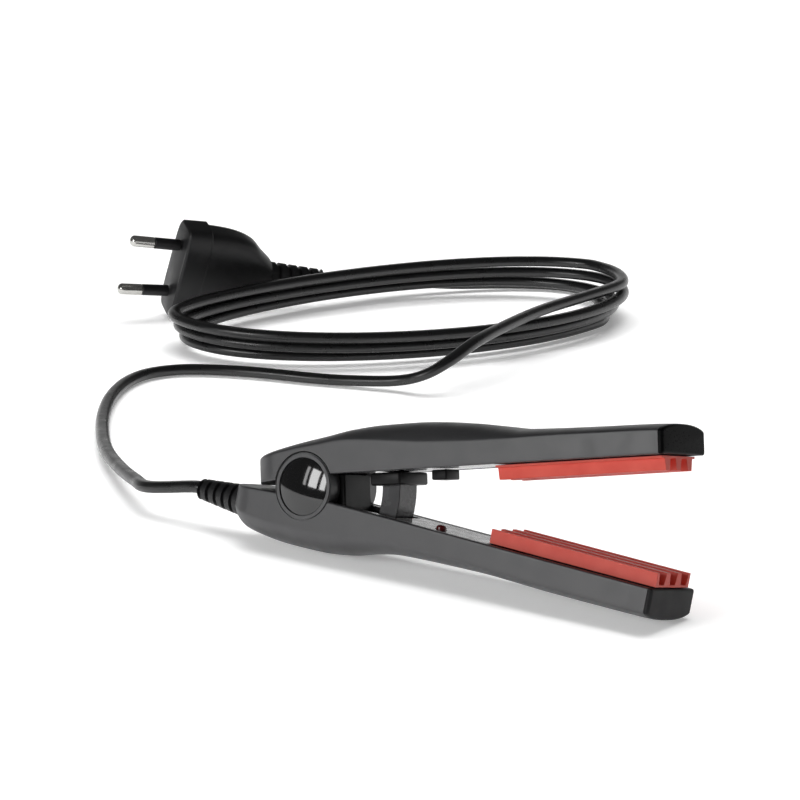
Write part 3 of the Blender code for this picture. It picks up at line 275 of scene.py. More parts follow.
# %% Metals
def plated_metal(name, dark, light, roughness, stretch=(1.0, 1.0, 1.0)):
    """Metal with fine drawn lines: noise of 0.25 mm, stretched along the drawing, gives the tint, the
    roughness within 0.7 to 1.3 times its mean, and a relief of 2 micrometres."""
    material, tree, shader = new_material(name, Metallic=1.0)
    place = add_node(tree, "ShaderNodeTexCoord").outputs["Object"]
    drawn = add_node(tree, "ShaderNodeMapping", {}, {"Vector": place, "Scale": stretch}).outputs["Vector"]
    lines = noise(tree, drawn, 0.25, 3.0, 0.6)
    tint(tree, shader, lines, dark, light)
    vary_sheen(tree, shader, lines, roughness * 0.7, roughness * 1.3)
    emboss(tree, shader, lines, 0.002)
    return material


nickel_plate = plated_metal("nickel_plated_brass", "#B9B8B4", "#D0CFCB", 0.20, (0.4, 0.2, 1.0))
turned_steel = plated_metal("turned_steel", "#A9AAAC", "#C2C3C5", 0.30)
spring_steel = plated_metal("spring_steel", "#9C9DA0", "#B5B6B9", 0.26)
print("metals:", nickel_plate.name, turned_steel.name, spring_steel.name)

# %% [markdown]
# The cord is a two core cable. Its sheath is extruded PVC: black, smooth and fairly glossy, with very
# faint lines along its run from the die. Lines read from the object's own axes would cut across the
# bends, so they read the cord's UV map instead, whose first number is the way along in metres and whose
# second is the share of the way round.

# %% Extruded PVC
def extruded_pvc(name, dark, light):
    """Cable sheath: dust marks of 4 mm in colour and roughness, and die lines as a relief of 0.02 mm. The
    stretched map counts 12 patches to a metre along the run and 26 round it, so a line is 83 mm long and
    a 26th of the girth wide."""
    material, tree, shader = new_material(name, IOR=1.54)
    along = add_node(tree, "ShaderNodeUVMap", {"uv_map": "run"}).outputs["UV"]
    place = add_node(tree, "ShaderNodeTexCoord").outputs["Object"]
    drawn = add_node(tree, "ShaderNodeMapping", {}, {"Vector": along, "Scale": (12.0, 26.0, 1.0)})
    dust = noise(tree, place, 4, 4.0, 0.6)
    tint(tree, shader, dust, dark, light)
    vary_sheen(tree, shader, dust, 0.24, 0.38)
    emboss(tree, shader, noise(tree, drawn.outputs["Vector"], 1 / MM, 2.0), 0.02)
    return material


cable_pvc = extruded_pvc("extruded_black_pvc", "#131314", "#1A1A1B")
print("sheath:", cable_pvc.name)

# %% [markdown]
# Inside the arms sit a ceramic heater, a fuse, a board and sleeved wires. They are hidden when the arms
# are whole and could stay plain, but an opened or cut arm shows them, so each has its own real finish
# from the same functions. The pilot lamp is a deep red lens that isn't lit.

# %% Inner finishes
lamp_lens = polished_abs("red_polycarbonate_lens", "#5E0C0E", 0.22)
alumina = moulded_abs("fired_alumina", "#D9D6CC", "#E4E1D8", 0.55, 0.6, 0.010)
silicone = moulded_abs("white_silicone_sleeve", "#DAD9D4", "#E4E3DF", 0.45, 0.8, 0.006)
board_laminate = moulded_abs("green_glass_laminate", "#1F4A2A", "#28583A", 0.40, 1.2, 0.010)
tinned_can = plated_metal("tinned_metal_can", "#B4B4B2", "#C6C6C4", 0.35)
print("materials so far:", len(bpy.data.materials))

# %% [markdown]
# Each node of the frame that isn't drawn anew below gets one of these finishes in its material slots.
# Setting them one by one would bury the choice in calls, so a table names them: finish on the left, nodes
# on the right. What is built finer below replaces its node.

# %% Dress the frame
FINISHED_NODES = (
    (black_abs, ("cord_clamp", "lower_plate_carrier", "upper_plate_carrier")),
    (turned_steel, ("hinge_pin", "lower_cover_screw_near", "lower_cover_screw_far",
                    "upper_cover_screw_near", "upper_cover_screw_far")),
    (alumina, ("lower_heater", "upper_heater")),
    (silicone, ("lower_heater_wire", "upper_heater_wire")),
    (board_laminate, ("lamp_board",)),
    (tinned_can, ("thermal_fuse",)),
)


def dress(thing, material):
    """Give an object one material in every slot."""
    thing.data.materials.clear()
    thing.data.materials.append(material)
    return thing


for finish, node_names in FINISHED_NODES:
    for node_name in node_names:
        dress(nodes[node_name], finish)
print("dressed", sum(len(node_names) for _, node_names in FINISHED_NODES), "frame nodes")

# %% [markdown]
# Most new pieces are skins through a grid of points: one direction runs along the piece, the other goes
# round it. The helper makes the quads between neighbours, closes the ends and turns the skin so that its
# volume is positive, which means that the faces point outwards.

# %% Skin helper
SHARP_DEG = 35


def skin(name, grid, material, smooth_deg=SHARP_DEG):
    """Closed surface through a grid of shape (stations, points round, 3). The volume is a sixth of the
    sum of a . (b x c) over its triangles, and a negative one means that the skin is inside out."""
    stations, around, _ = grid.shape
    index = np.arange(stations * around).reshape(stations, around)
    beside = np.roll(index, -1, axis=1)
    quads = np.stack([index[:-1], beside[:-1], beside[1:], index[1:]], axis=-1).reshape(-1, 4)
    ends = [index[0][::-1].tolist(), index[-1].tolist()]
    mesh = bpy.data.meshes.new(name)
    mesh.from_pydata(grid.reshape(-1, 3).tolist(), [], quads.tolist() + ends)
    a, b, c, d = (grid.reshape(-1, 3)[quads[:, k]] for k in range(4))
    volume = (np.einsum("ij,ij->i", a, np.cross(b, c)) + np.einsum("ij,ij->i", a, np.cross(c, d))).sum() / 6
    for ring in (index[0][::-1], index[-1]):
        p = grid.reshape(-1, 3)[ring]
        volume += (np.cross(p[1:-1], p[2:]) @ p[0]).sum() / 6
    if volume < 0:
        mesh.flip_normals()
    mesh.materials.append(material)
    mesh.shade_smooth()
    mesh.set_sharp_from_angle(angle=math.radians(smooth_deg))
    print(name, "skin of", stations, "rings with", around, "points")
    return put(name, mesh)


def settle(piece, body, slot, *replaced):
    """Let a piece ride on a body and hide the frame nodes that it stands for: those given, or else the node
    that has the slot's own name."""
    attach(piece, body)
    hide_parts(*(replaced or (slot,)))
    return piece


# %% [markdown]
# Both arms are drawn in the arm's own axes: X runs from the hinge to the tip, Y across, Z from the lower
# arm to the upper. The crimper lies rolled away from the viewer and a little tip down, so one turn
# places the lower arm, and the upper arm adds its opening angle about the hinge.

# %% Arm axes
HINGE = np.array(frame["joints"][0]["pos_m"])
ROLL, PITCH, OPENING = math.radians(-14.2), math.radians(2.8), math.radians(14.9)


def turn_about(axis, angle):
    """Turn about one axis by the usual sine and cosine matrix."""
    return np.array(Matrix.Rotation(angle, 3, axis))


LOWER_TURN = turn_about("X", ROLL) @ turn_about("Y", PITCH)
UPPER_TURN = LOWER_TURN @ turn_about("Y", -OPENING)


def from_arm(points, turn):
    """World place = hinge + turn times the arm's own coordinates."""
    return HINGE + np.asarray(points, float) @ turn.T


print("hinge", HINGE.round(4).tolist(), "and the lower arm points to", LOWER_TURN[:, 0].round(3).tolist())

# %% [markdown]
# A casing is a long shell whose depth swells at the hinge and slims towards the plates. A crease parts its
# flank from its crown. It runs nearly straight while the crown rises over it, so the flank takes a smaller
# share of the depth where the arm is deep. A subdivided box could be pulled into this shape, but its
# creases would wander. Here the depth and the share stand in tables of a few stations, as shares of the
# arm's reach, and a cubic curve that never overshoots them runs through.

# %% Casing curves
CASE_HALF, TIP_REACH, REAR_CORNER, WALL = 11.3 * MM, 120.3 * MM, 9.0 * MM, 1.8 * MM
LOWER_CROWN = np.array([(-0.2244, 0.60), (-0.205, 0.80), (-0.165, 0.93), (-0.06, 1.00), (0.04, 0.98),
                        (0.115, 0.91), (0.183, 0.775), (0.254, 0.67), (0.324, 0.63), (0.41, 0.60),
                        (0.54, 0.57), (0.71, 0.585), (0.865, 0.578), (0.97, 0.565), (1.0, 0.55)])
UPPER_CROWN = np.array([(-0.162, 0.42), (-0.141, 0.53), (-0.105, 0.61), (-0.032, 0.74), (0.042, 0.84),
                        (0.116, 0.945), (0.19, 0.992), (0.285, 1.00), (0.357, 0.97), (0.442, 0.90),
                        (0.524, 0.80), (0.604, 0.71), (0.788, 0.665), (0.94, 0.645), (1.0, 0.62)])
LOWER_SIDE_SHARES = np.array([(-0.2244, 0.64), (0.05, 0.62), (0.20, 0.60), (0.40, 0.66), (0.70, 0.76),
                              (1.0, 0.78)])
UPPER_SIDE_SHARES = np.array([(-0.162, 0.78), (0.08, 0.76), (0.20, 0.66), (0.35, 0.56), (0.45, 0.58),
                              (0.62, 0.73), (0.75, 0.77), (1.0, 0.77)])
ARMS = {
    "lower": {"rear": -27.0 * MM, "flat": -2.4 * MM, "rear_flat": -4.8 * MM, "depth": 16.1 * MM, "out": -1,
              "crown": LOWER_CROWN, "side": LOWER_SIDE_SHARES, "turn": LOWER_TURN, "body": "lower_arm"},
    "upper": {"rear": -19.5 * MM, "flat": 3.2 * MM, "rear_flat": 1.5 * MM, "depth": 13.6 * MM, "out": 1,
              "crown": UPPER_CROWN, "side": UPPER_SIDE_SHARES, "turn": UPPER_TURN, "body": "upper_arm"},
}


def curve_through(table, at):
    """Cubic Hermite curve through a table, with the harmonic mean of the slopes on both sides as the
    tangent, or none where the slope changes sign, so that the curve never overshoots."""
    x, y = table[:, 0], table[:, 1]
    slope = np.diff(y) / np.diff(x)
    before, after = slope[:-1], slope[1:]
    steady = before * after > 0
    inner = np.where(steady, 2 * before * after / np.where(steady, before + after, 1), 0)
    tangent = np.concatenate([slope[:1], inner, slope[-1:]])
    at = np.clip(at, x[0], x[-1])
    k = np.clip(np.searchsorted(x, at, side="right") - 1, 0, len(x) - 2)
    run = x[k + 1] - x[k]
    t = (at - x[k]) / run
    return ((2 * t ** 3 - 3 * t ** 2 + 1) * y[k] + (t ** 3 - 2 * t ** 2 + t) * run * tangent[k]
            + (3 * t ** 2 - 2 * t ** 3) * y[k + 1] + (t ** 3 - t ** 2) * run * tangent[k + 1])


for key, arm in ARMS.items():
    print(key, "arm depth at the hinge and tip in mm",
          [round(float(curve_through(arm["crown"], s) * arm["depth"] / MM), 1) for s in (0.0, 1.0)])

# %% [markdown]
# The section of a casing is a flat inner side, straight flanks and an arched crown that meets the flanks
# at the crease, as the photograph's sharp edge between the grey flank and the dark crown shows. A bevelled
# box would have the corners but no arch. So the arch is part of a superellipse, and the ring of points is
# averaged a little, as a mould's corners are never sharp.

# %% Casing section
REAR_KNEE = -9.0 * MM
CREASE, ARCH_POWER = math.radians(25), 2.3
FLAT_POINTS, FLANK_POINTS, ARCH_POINTS = 36, 26, 80


def case_profile(arm, x, inset=0.0):
    """Half width, inner flat, crease height and crown height at stations x: the plan has quarter
    circles at the rear, and the inner side drops away in two straight runs behind the hinge."""
    corner = REAR_CORNER - inset
    run = np.clip(x - arm["rear"] - inset, 0, corner)
    half = CASE_HALF - inset - corner + np.sqrt(np.maximum(corner ** 2 - (corner - run) ** 2, 0))
    knee_flat = (arm["rear_flat"] + arm["flat"]) / 2
    flat = np.interp(x, [arm["rear"], REAR_KNEE, 0], [arm["rear_flat"], knee_flat, arm["flat"]])
    deep = curve_through(arm["crown"], x / TIP_REACH) * arm["depth"] - inset
    side = curve_through(arm["side"], x / TIP_REACH)
    return half, flat, arm["flat"] + arm["out"] * deep * side, arm["flat"] + arm["out"] * deep


def case_grid(x, half, flat, crease, crown, rounding=3):
    """Rows of section points in arm axes. The crown is y = half cos(t)^(2/p) / cos(c)^(2/p) and
    z = crown - rise (1 - sin(t)^(2/p)), from the crease angle c to its mirror. Each corner is rounded by
    averaging every point with its neighbours, a quarter, a half and a quarter, a few times."""
    def run(a, b, count):
        """Straight run from a towards b, which starts the next run."""
        return a[:, None] + (b - a)[:, None] * np.linspace(0, 1, count, endpoint=False)

    t = np.linspace(CREASE, math.pi - CREASE, ARCH_POINTS)
    power = 2 / ARCH_POWER
    across = -np.sign(np.cos(t)) * np.abs(np.cos(t)) ** power / math.cos(CREASE) ** power
    rise = (crown - crease) / (1 - math.sin(CREASE) ** power)
    y = np.hstack([run(0 * half, -half, FLAT_POINTS), run(-half, -half, FLANK_POINTS),
                   half[:, None] * across[:-1],
                   run(half, half, FLANK_POINTS), run(half, 0 * half, FLAT_POINTS)])
    z = np.hstack([run(flat, flat, FLAT_POINTS), run(flat, crease, FLANK_POINTS),
                   crown[:, None] - rise[:, None] * (1 - np.sin(t[:-1]) ** power),
                   run(crease, flat, FLANK_POINTS), run(flat, flat, FLAT_POINTS)])
    grid = np.stack([np.broadcast_to(x[:, None], y.shape), y, z], axis=-1)
    for _ in range(rounding):
        grid = (np.roll(grid, 1, axis=1) + 2 * grid + np.roll(grid, -1, axis=1)) / 4
    return grid


print("points round a casing", 2 * (FLAT_POINTS + FLANK_POINTS) + ARCH_POINTS - 1)

# %% [markdown]
# The shell has to be open where the covers, the plates and the hinge sit. The outer block is cut with an
# inner block of the same curves set in by the wall, and the hinge's ears and bores are cut or joined in
# the same way. Booleans are the plain tool for that, because each tool shape is a closed skin.

# %% Cutting helpers
def bar(name, radius, ends, turn, sides=96):
    """Round bar about the hinge line, from one end across the arm to the other, for joining or cutting."""
    angle = np.linspace(0, 2 * math.pi, sides, endpoint=False)
    ring = np.stack([radius * np.cos(angle), 0 * angle, radius * np.sin(angle)], -1)
    grid = np.stack([ring + (0, end, 0) for end in sorted(ends)])
    return skin(name, from_arm(grid, turn), casing_abs)


def carve(thing, steps):
    """Apply boolean steps in order, keep the result as the thing's own mesh and remove the tools."""
    for operation, tool in steps:
        step = thing.modifiers.new(tool.name, "BOOLEAN")
        step.operation, step.solver, step.object = operation, "EXACT", tool
        tool.hide_render = True
    done = bpy.data.meshes.new_from_object(thing.evaluated_get(bpy.context.evaluated_depsgraph_get()))
    thing.modifiers.clear()
    thing.data = done
    for _, tool in steps:
        bpy.data.objects.remove(tool)
    done.shade_smooth()
    done.set_sharp_from_angle(angle=math.radians(SHARP_DEG))
    return thing


print("cutting tools: round bars of 96 sides and inner blocks, each a closed skin")

# %% [markdown]
# The lower casing carries the hinge: two round ears stand up at its sides and the upper casing is cut
# away round them. On the real arm a thin groove runs round each ear, with a flush ring inside it and a
# recess for the cap. A ring laid on top would float over the flank's edge, so the groove is cut first and
# the ring is joined into it, which keeps the casing one piece.

# %% Both casings
EAR_RADIUS, EAR_INNER, EAR_ROOM = 9.8 * MM, 6.8 * MM, 0.35 * MM
CAP_RECESS, CAP_DEPTH, PIN_BORE = 8.4 * MM, 1.5 * MM, 2.3 * MM
GROOVE_OUTER, GROOVE_INNER, GROOVE_DEEP, RING_PROUD = 9.75 * MM, 9.4 * MM, 0.35 * MM, 0.12 * MM
CASE_END, HOLLOW_START, CUT_PAST = TIP_REACH - 1.5 * MM, -9.0 * MM, 1.0 * MM
REAR_RINGS, LONG_RINGS, HOLLOW_RINGS = 18, 120, 60
HINGE_STEPS = {
    "lower": (("UNION", "ear", EAR_RADIUS, EAR_INNER, CASE_HALF),
              ("DIFFERENCE", "groove", GROOVE_OUTER, CASE_HALF - GROOVE_DEEP, CASE_HALF + CUT_PAST),
              ("UNION", "ring", GROOVE_INNER, EAR_INNER, CASE_HALF + RING_PROUD),
              ("DIFFERENCE", "cap_recess", CAP_RECESS, CASE_HALF - CAP_DEPTH, CASE_HALF + CUT_PAST)),
    "upper": (("DIFFERENCE", "ear_room", EAR_RADIUS + EAR_ROOM, EAR_INNER - EAR_ROOM,
               CASE_HALF + CUT_PAST),),
}


def casing(key):
    """Outer skin of an arm minus its inside, then the steps of the hinge on both sides: operation, name,
    radius, and how far from the middle the bar begins and ends."""
    arm = ARMS[key]
    turn = arm["turn"]
    x = arm["rear"] + REAR_CORNER * (1 - np.cos(np.linspace(0, math.pi / 2, REAR_RINGS)))
    x = np.concatenate([x, np.linspace(x[-1], CASE_END, LONG_RINGS)[1:]])
    block = skin(key + "_casing", from_arm(case_grid(x, *case_profile(arm, x)), turn), casing_abs)
    x = np.linspace(HOLLOW_START, CASE_END + CUT_PAST, HOLLOW_RINGS)
    half, flat, crease, crown = case_profile(arm, x, WALL)
    room = case_grid(x, half, 0 * x + arm["flat"] - arm["out"] * CUT_PAST, crease, crown, 1)
    steps = [("DIFFERENCE", skin(key + "_room", from_arm(room, turn), casing_abs))]
    for side in (-1, 1):
        for operation, name, radius, inner, outer in HINGE_STEPS[key]:
            steps.append((operation, bar(name, radius, (side * inner, side * outer), turn)))
    if key == "lower":
        steps.append(("DIFFERENCE", bar("pin_bore", PIN_BORE, (-CASE_HALF, CASE_HALF), turn, 48)))
    carve(block, steps)
    return settle(block, arm["body"], key + "_housing")


for key in ARMS:
    shell = casing(key)
    print(shell.name, len(shell.data.polygons), "faces")

# %% [markdown]
# Each arm ends in a flat dark cap, both much darker than the casing and the upper one nearly black. Their
# colour is partly a cap of its own and partly painted shade: the end faces turn away from the lamps, and the
# upper cap's near black is painted shade. A flat face cut across the casing would stay grey, so each cap is a
# piece of its own. Its rounded rim catches the light at the corner between flank and end. The rim is a
# quarter circle: the section shrinks by r(1 - cos a) while it moves forward by r sin a.

# %% End caps
CAP_BACK, CAP_RIM, RIM_RINGS = 1.35 * MM, 0.9 * MM, 9


def end_cap(key, material):
    """Short plug of the casing's own section with a quarter round rim."""
    arm = ARMS[key]
    half, flat, crease, crown = (np.atleast_1d(v) for v in case_profile(arm, np.array([TIP_REACH])))
    base = case_grid(np.array([0.0]), half, flat, crease, crown)[0]
    angle = np.linspace(0, math.pi / 2, RIM_RINGS)
    x = np.concatenate([[TIP_REACH - CAP_BACK], TIP_REACH - CAP_RIM + CAP_RIM * np.sin(angle)])
    shrink = np.concatenate([[0.0], CAP_RIM * (1 - np.cos(angle))])
    middle = np.array([0, 0, (flat[0] + crown[0]) / 2])
    size = np.array([1, half[0], abs(crown[0] - flat[0]) / 2])
    grid = middle + (base - middle)[None] * (1 - shrink[:, None, None] / size)
    grid[:, :, 0] = x[:, None]
    cap = skin(key + "_end_cap", from_arm(grid, arm["turn"]), material)
    return settle(cap, arm["body"], key + "_tip_cap")


# The caps' colours carry painted shade of end faces turned away from the lamps.
for key, material in (("lower", lower_cap_abs_painted_shade), ("upper", upper_cap_abs_painted_shade)):
    cap = end_cap(key, material)
    print(cap.name, "is made of", material.name)

# %% [markdown]
# The crimping plates press waves into hair, so their faces are ridges that run along the arm, and the
# upper ridges meet the lower valleys. The photograph shows square ridges with narrow dark slots at the
# plates' ends. Each ridge is a block with steep flanks, and averaging neighbouring points a few times
# rounds its corners as the sprayed coat does. A box for each ridge would leave seams in the coat. Only
# the sharp rims of both end faces get a bevel.

# %% Crimping plates
PLATE_HALF, PLATE_BASE, RIDGE_HEIGHT, PLATE_BACK = 8.55 * MM, 0.6 * MM, 3.4 * MM, 64.2 * MM
RIDGE_COUNT, RIDGE_HALF, RIDGE_FLANK = 3, 1.25 * MM, 0.5 * MM
PLATE_SEAT, PLATE_EDGE = 0.3 * MM, 0.12 * MM
FACE_POINTS, BACK_POINTS, PLATE_RINGS = 286, 30, 24


def ridge_heights(y, phase):
    """Height over y: 1 on a ridge and 0 in a valley, with w = (half + flank / 2 - distance) / flank,
    clipped to 0..1, for the nearest ridge. Three rounds of averaging soften the corners."""
    pitch = 2 * PLATE_HALF / RIDGE_COUNT
    centres = -PLATE_HALF + pitch * (np.arange(RIDGE_COUNT + 1) + phase)
    distance = np.abs(y[:, None] - centres).min(axis=1)
    height = np.clip((RIDGE_HALF + RIDGE_FLANK / 2 - distance) / RIDGE_FLANK, 0, 1)
    for _ in range(3):
        height[1:-1] = (height[:-2] + 2 * height[1:-1] + height[2:]) / 4
    return height * RIDGE_HEIGHT


def crimping_plate(key, front, phase):
    """Section: the ridges on the working side, and a flat back that stands a small seat above the
    casing's inner side. It is carried straight from the back to the front."""
    arm = ARMS[key]
    seat = arm["flat"] - arm["out"] * PLATE_SEAT
    y = np.linspace(-PLATE_HALF, PLATE_HALF, FACE_POINTS)
    z = seat - arm["out"] * (PLATE_BASE + ridge_heights(y, phase))
    back = np.linspace(PLATE_HALF, -PLATE_HALF, BACK_POINTS)
    ring = np.stack([np.concatenate([y, back]), np.concatenate([z, 0 * back + seat])], -1)
    x = np.linspace(PLATE_BACK, front, PLATE_RINGS)
    grid = np.concatenate([np.broadcast_to(x[:, None, None], (PLATE_RINGS, len(ring), 1)),
                           np.broadcast_to(ring[None], (PLATE_RINGS, len(ring), 2))], axis=-1)
    plate = skin(key + "_plate", from_arm(grid, arm["turn"]), coral_coat, smooth_deg=40)
    edge = plate.modifiers.new("edge", "BEVEL")
    edge.width, edge.segments, edge.limit_method, edge.angle_limit = PLATE_EDGE, 2, "ANGLE", math.radians(60)
    print(plate.name, round((front - PLATE_BACK) / MM, 1), "mm long,", len(grid) * len(ring), "points")
    return settle(plate, arm["body"], key + "_crimp_plate")


crimping_plate("lower", front=119.5 * MM, phase=0.0)
crimping_plate("upper", front=118.4 * MM, phase=0.5)

# %% [markdown]
# Pieces that were turned or moulded round are made from a profile of radius and station that goes round an
# axis once. The profile is listed, and the helper rounds nothing by itself.

# %% Turned pieces
def turned(name, profile, material, place, axis="Y", centre=(0, 0, 0), sides=72, smooth_deg=SHARP_DEG):
    """Point = centre + station along the axis + radius (cos a, sin a) across it, for each profile pair
    and each angle; place then takes it to the world."""
    profile = np.asarray(profile, float)
    angle = np.linspace(0, 2 * math.pi, sides, endpoint=False)
    a, b = profile[:, :1] * np.cos(angle), profile[:, :1] * np.sin(angle)
    along = np.broadcast_to(profile[:, 1:], a.shape)
    order = {"X": (along, a, b), "Y": (a, along, b), "Z": (a, b, along)}[axis]
    return skin(name, place(np.stack(order, -1) + centre), material, smooth_deg=smooth_deg)


def in_lower(points):
    """Place in the lower arm's axes."""
    return from_arm(points, LOWER_TURN)


print("hinge in mm", (in_lower((0, 0, 0)) / MM).round(1).tolist())

# %% [markdown]
# The hinge cap is a shallow dome of polished plastic inside a flush ring. A flattened ball from Blender
# would do, but the cap's rim and rise are known, so its curve is worked out as part of a true sphere.
# That matters, because the dome mirrors the soft lamps on its right and the table in its lower half.

# %% Hinge caps
CAP_RADIUS, DOME_RISE, CAP_SUNK, CAP_SKIRT = 8.2 * MM, 1.2 * MM, 0.15 * MM, 1.2 * MM
DOME_RINGS, TIP_SHARE = 28, 0.02


def hinge_cap(side, name):
    """Dome: with sphere radius R = (r^2 + h^2) / 2h, the height at radius q is h - R + sqrt(R^2 - q^2).
    The last ring is tiny, and its face closes the pole."""
    rim = CASE_HALF - CAP_SUNK
    ball = (CAP_RADIUS ** 2 + DOME_RISE ** 2) / (2 * DOME_RISE)
    q = CAP_RADIUS * np.cos(np.linspace(0, math.pi / 2, DOME_RINGS)[:-1])
    q = np.concatenate([q, [TIP_SHARE * CAP_RADIUS]])
    dome = np.stack([q, side * (rim + DOME_RISE - ball + np.sqrt(ball ** 2 - q ** 2))], -1)
    profile = np.concatenate([[(CAP_RADIUS, side * (CASE_HALF - CAP_SKIRT))], dome])
    cap = turned(name + "_dome", profile, gloss_abs, in_lower, sides=96)
    print(name, "is part of a ball of radius", round(ball / MM, 1), "mm")
    return settle(cap, "lower_arm", name)


for side, word in ((-1, "near"), (1, "far")):
    hinge_cap(side, "hinge_cap_" + word)

# %% [markdown]
# Block shaped pieces keep the frame's shape. A copy of the node's mesh is merged, its flat faces are
# joined again, and a small bevel gives most of them the thin light line that moulded edges have. The
# collar and the lug lie deep between the arms and keep their sharp edges.

# %% Copies with rounded edges
MERGE_MM, FLAT_DEG, EDGE_DEG = 0.002, 0.6, 30


def rounded(node_name, material, radius_mm):
    """Merged copy of a node with a bevel of a real radius on every edge sharper than 30 degrees, or with
    none where the radius is 0."""
    work = bmesh.new()
    work.from_mesh(nodes[node_name].data)
    bmesh.ops.remove_doubles(work, verts=work.verts, dist=MERGE_MM * MM)
    bmesh.ops.dissolve_limit(work, angle_limit=math.radians(FLAT_DEG), verts=work.verts, edges=work.edges)
    mesh = bpy.data.meshes.new(node_name + "_piece")
    work.to_mesh(mesh)
    work.free()
    mesh.materials.append(material)
    thing = put(node_name + "_piece", mesh)
    if radius_mm:
        edge = thing.modifiers.new("edge", "BEVEL")
        edge.width, edge.segments, edge.limit_method = radius_mm * MM, 2, "ANGLE"
        edge.angle_limit = math.radians(EDGE_DEG)
    mesh.shade_smooth()
    mesh.set_sharp_from_angle(angle=math.radians(SHARP_DEG))
    return settle(thing, nodes[node_name]["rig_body"], node_name)


for node_name, material, radius_mm in (
        ("hinge_knuckle", black_abs, 0.15), ("spring_post", post_abs, 0.20), ("spring_collar", black_abs, 0),
        ("stop_lug", black_abs, 0), ("lower_inner_cover", cover_abs, 0.15),
        ("upper_inner_cover", cover_abs, 0.15)):
    piece = rounded(node_name, material, radius_mm)
    print(piece.name, "edge radius in mm", radius_mm)

# %% [markdown]
# A thin coil spring stands in the post and pushes the arms apart. It is wound from 0.56 mm steel wire in nine
# turns, and its end turns lie closer together so that it stands square. A spring of fixed length would stick
# through the upper casing when the arms shut. This one is wound from its foot to its head as the arms stand
# here, and it keeps that length.

# %% Opening spring
SPRING_RADIUS, SPRING_WIRE_RADIUS, SPRING_TURNS, END_TURN_RISE = 1.25 * MM, 0.28 * MM, 9, 0.8 * MM
SPRING_FOOT, SPRING_HEAD = np.array((25.7, 0, -5.5)) * MM, np.array((28.88, 0, 13.84)) * MM
STEPS_PER_TURN, WIRE_SIDES = 28, 12


def coil_spring():
    """Helix about the line from foot to head: centre = foot + rise + R (cos a u + sin a v). The wire's
    round section lies along the radius and along tangent x radius."""
    foot, head, shut = in_lower(SPRING_FOOT), from_arm(SPRING_HEAD, UPPER_TURN), in_lower(SPRING_HEAD)
    length = float(np.linalg.norm(head - foot))
    axis = (head - foot) / length
    across = LOWER_TURN @ (0, 1, 0)
    turns = np.linspace(0, SPRING_TURNS, SPRING_TURNS * STEPS_PER_TURN + 1)
    rise = np.interp(turns, [0, 1, SPRING_TURNS - 1, SPRING_TURNS],
                     [0, END_TURN_RISE, length - END_TURN_RISE, length])
    angle = 2 * math.pi * turns[:, None]
    radial = np.cos(angle) * across + np.sin(angle) * np.cross(axis, across)
    line = foot + rise[:, None] * axis + SPRING_RADIUS * radial
    tangent = np.gradient(line, axis=0)
    tangent /= np.linalg.norm(tangent, axis=1)[:, None]
    section = np.linspace(0, 2 * math.pi, WIRE_SIDES, endpoint=False)[None, :, None]
    round_it = np.cos(section) * radial[:, None] + np.sin(section) * np.cross(tangent, radial)[:, None]
    wire = skin("spring_wire", line[:, None] + SPRING_WIRE_RADIUS * round_it, spring_steel, smooth_deg=60)
    settle(wire, "lower_arm", "opening_spring")
    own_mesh(wire)


coil_spring()

# %% [markdown]
# The pilot lamp is a small red lens, a 3 mm post with a domed end that stands just above its cover, near
# the viewer's edge. A cylinder and a ball would leave a ring where they meet, so one profile goes round.

# %% Pilot lamp
LAMP_RADIUS, LAMP_FOOT, LAMP_TOP, LAMP_CENTRE = 1.5 * MM, -6.6 * MM, -1.1 * MM, (45.2 * MM, -5.0 * MM, 0)
LAMP_DOME, COVER_TOP = 0.8 * MM, -2.5 * MM
bend = np.linspace(0, math.pi / 2, 12)[:-1]
lens_dome = np.stack([LAMP_RADIUS * np.cos(bend), LAMP_TOP - LAMP_DOME * (1 - np.sin(bend))], -1)
lens_profile = np.concatenate([[(LAMP_RADIUS, LAMP_FOOT)], lens_dome, [(TIP_SHARE * LAMP_RADIUS, LAMP_TOP)]])
lens = turned("pilot_lens", lens_profile, lamp_lens, in_lower, axis="Z", centre=LAMP_CENTRE, sides=40)
settle(lens, "lower_arm", "pilot_lamp")
print("lens stands", round((LAMP_TOP - COVER_TOP) / MM, 1), "mm above its cover")

# %% [markdown]
# Both strain reliefs are soft sleeves with ribs that let the cord bend gently. Their profile goes out
# and in along a taper: each rib is a plateau with rounded corners, and each groove is narrower than the
# rib.

# %% Ribbed sleeves
RIB_COUNT, RIB_POINTS, RIB_SHARE, RIB_EDGE, GROOVE_DEPTH = 5, 24, 0.58, 0.08, 0.9 * MM
RELIEF_START, RELIEF_LENGTH, RELIEF_LEVEL = -27.3 * MM, 16.0 * MM, -9.9 * MM
NECK_RADIUS, NECK_START = 2.6 * MM, -24.4 * MM


def sleeve_profile(start, direction, length, root, end):
    """Radius and station pairs: share s along the sleeve gives the taper root + (end - root) s, and a
    smooth step of the place inside each pitch takes the groove out."""
    s = np.linspace(0, 1, RIB_COUNT * RIB_POINTS + 1)
    inside = (s * RIB_COUNT) % 1.0
    edge = np.clip(np.minimum((inside - RIB_SHARE) / RIB_EDGE, (1.0 - inside) / RIB_EDGE), 0, 1)
    dip = edge * edge * (3 - 2 * edge) * (s < 1)
    radius = root + (end - root) * s - GROOVE_DEPTH * dip
    return np.stack([radius, start + direction * length * s], -1)


relief_profile = sleeve_profile(RELIEF_START, -1, RELIEF_LENGTH, root=4.7 * MM, end=3.1 * MM)
relief_profile = np.concatenate([[(NECK_RADIUS, NECK_START)], relief_profile])
relief = turned("strain_relief_sleeve", relief_profile, plug_pvc, in_lower, axis="X",
                centre=(0, 0, RELIEF_LEVEL), sides=56, smooth_deg=50)
settle(relief, "lower_arm", "strain_relief")
print("sleeve radii in mm", [round(float(r) / MM, 2) for r in relief_profile[[1, -1], 0]])

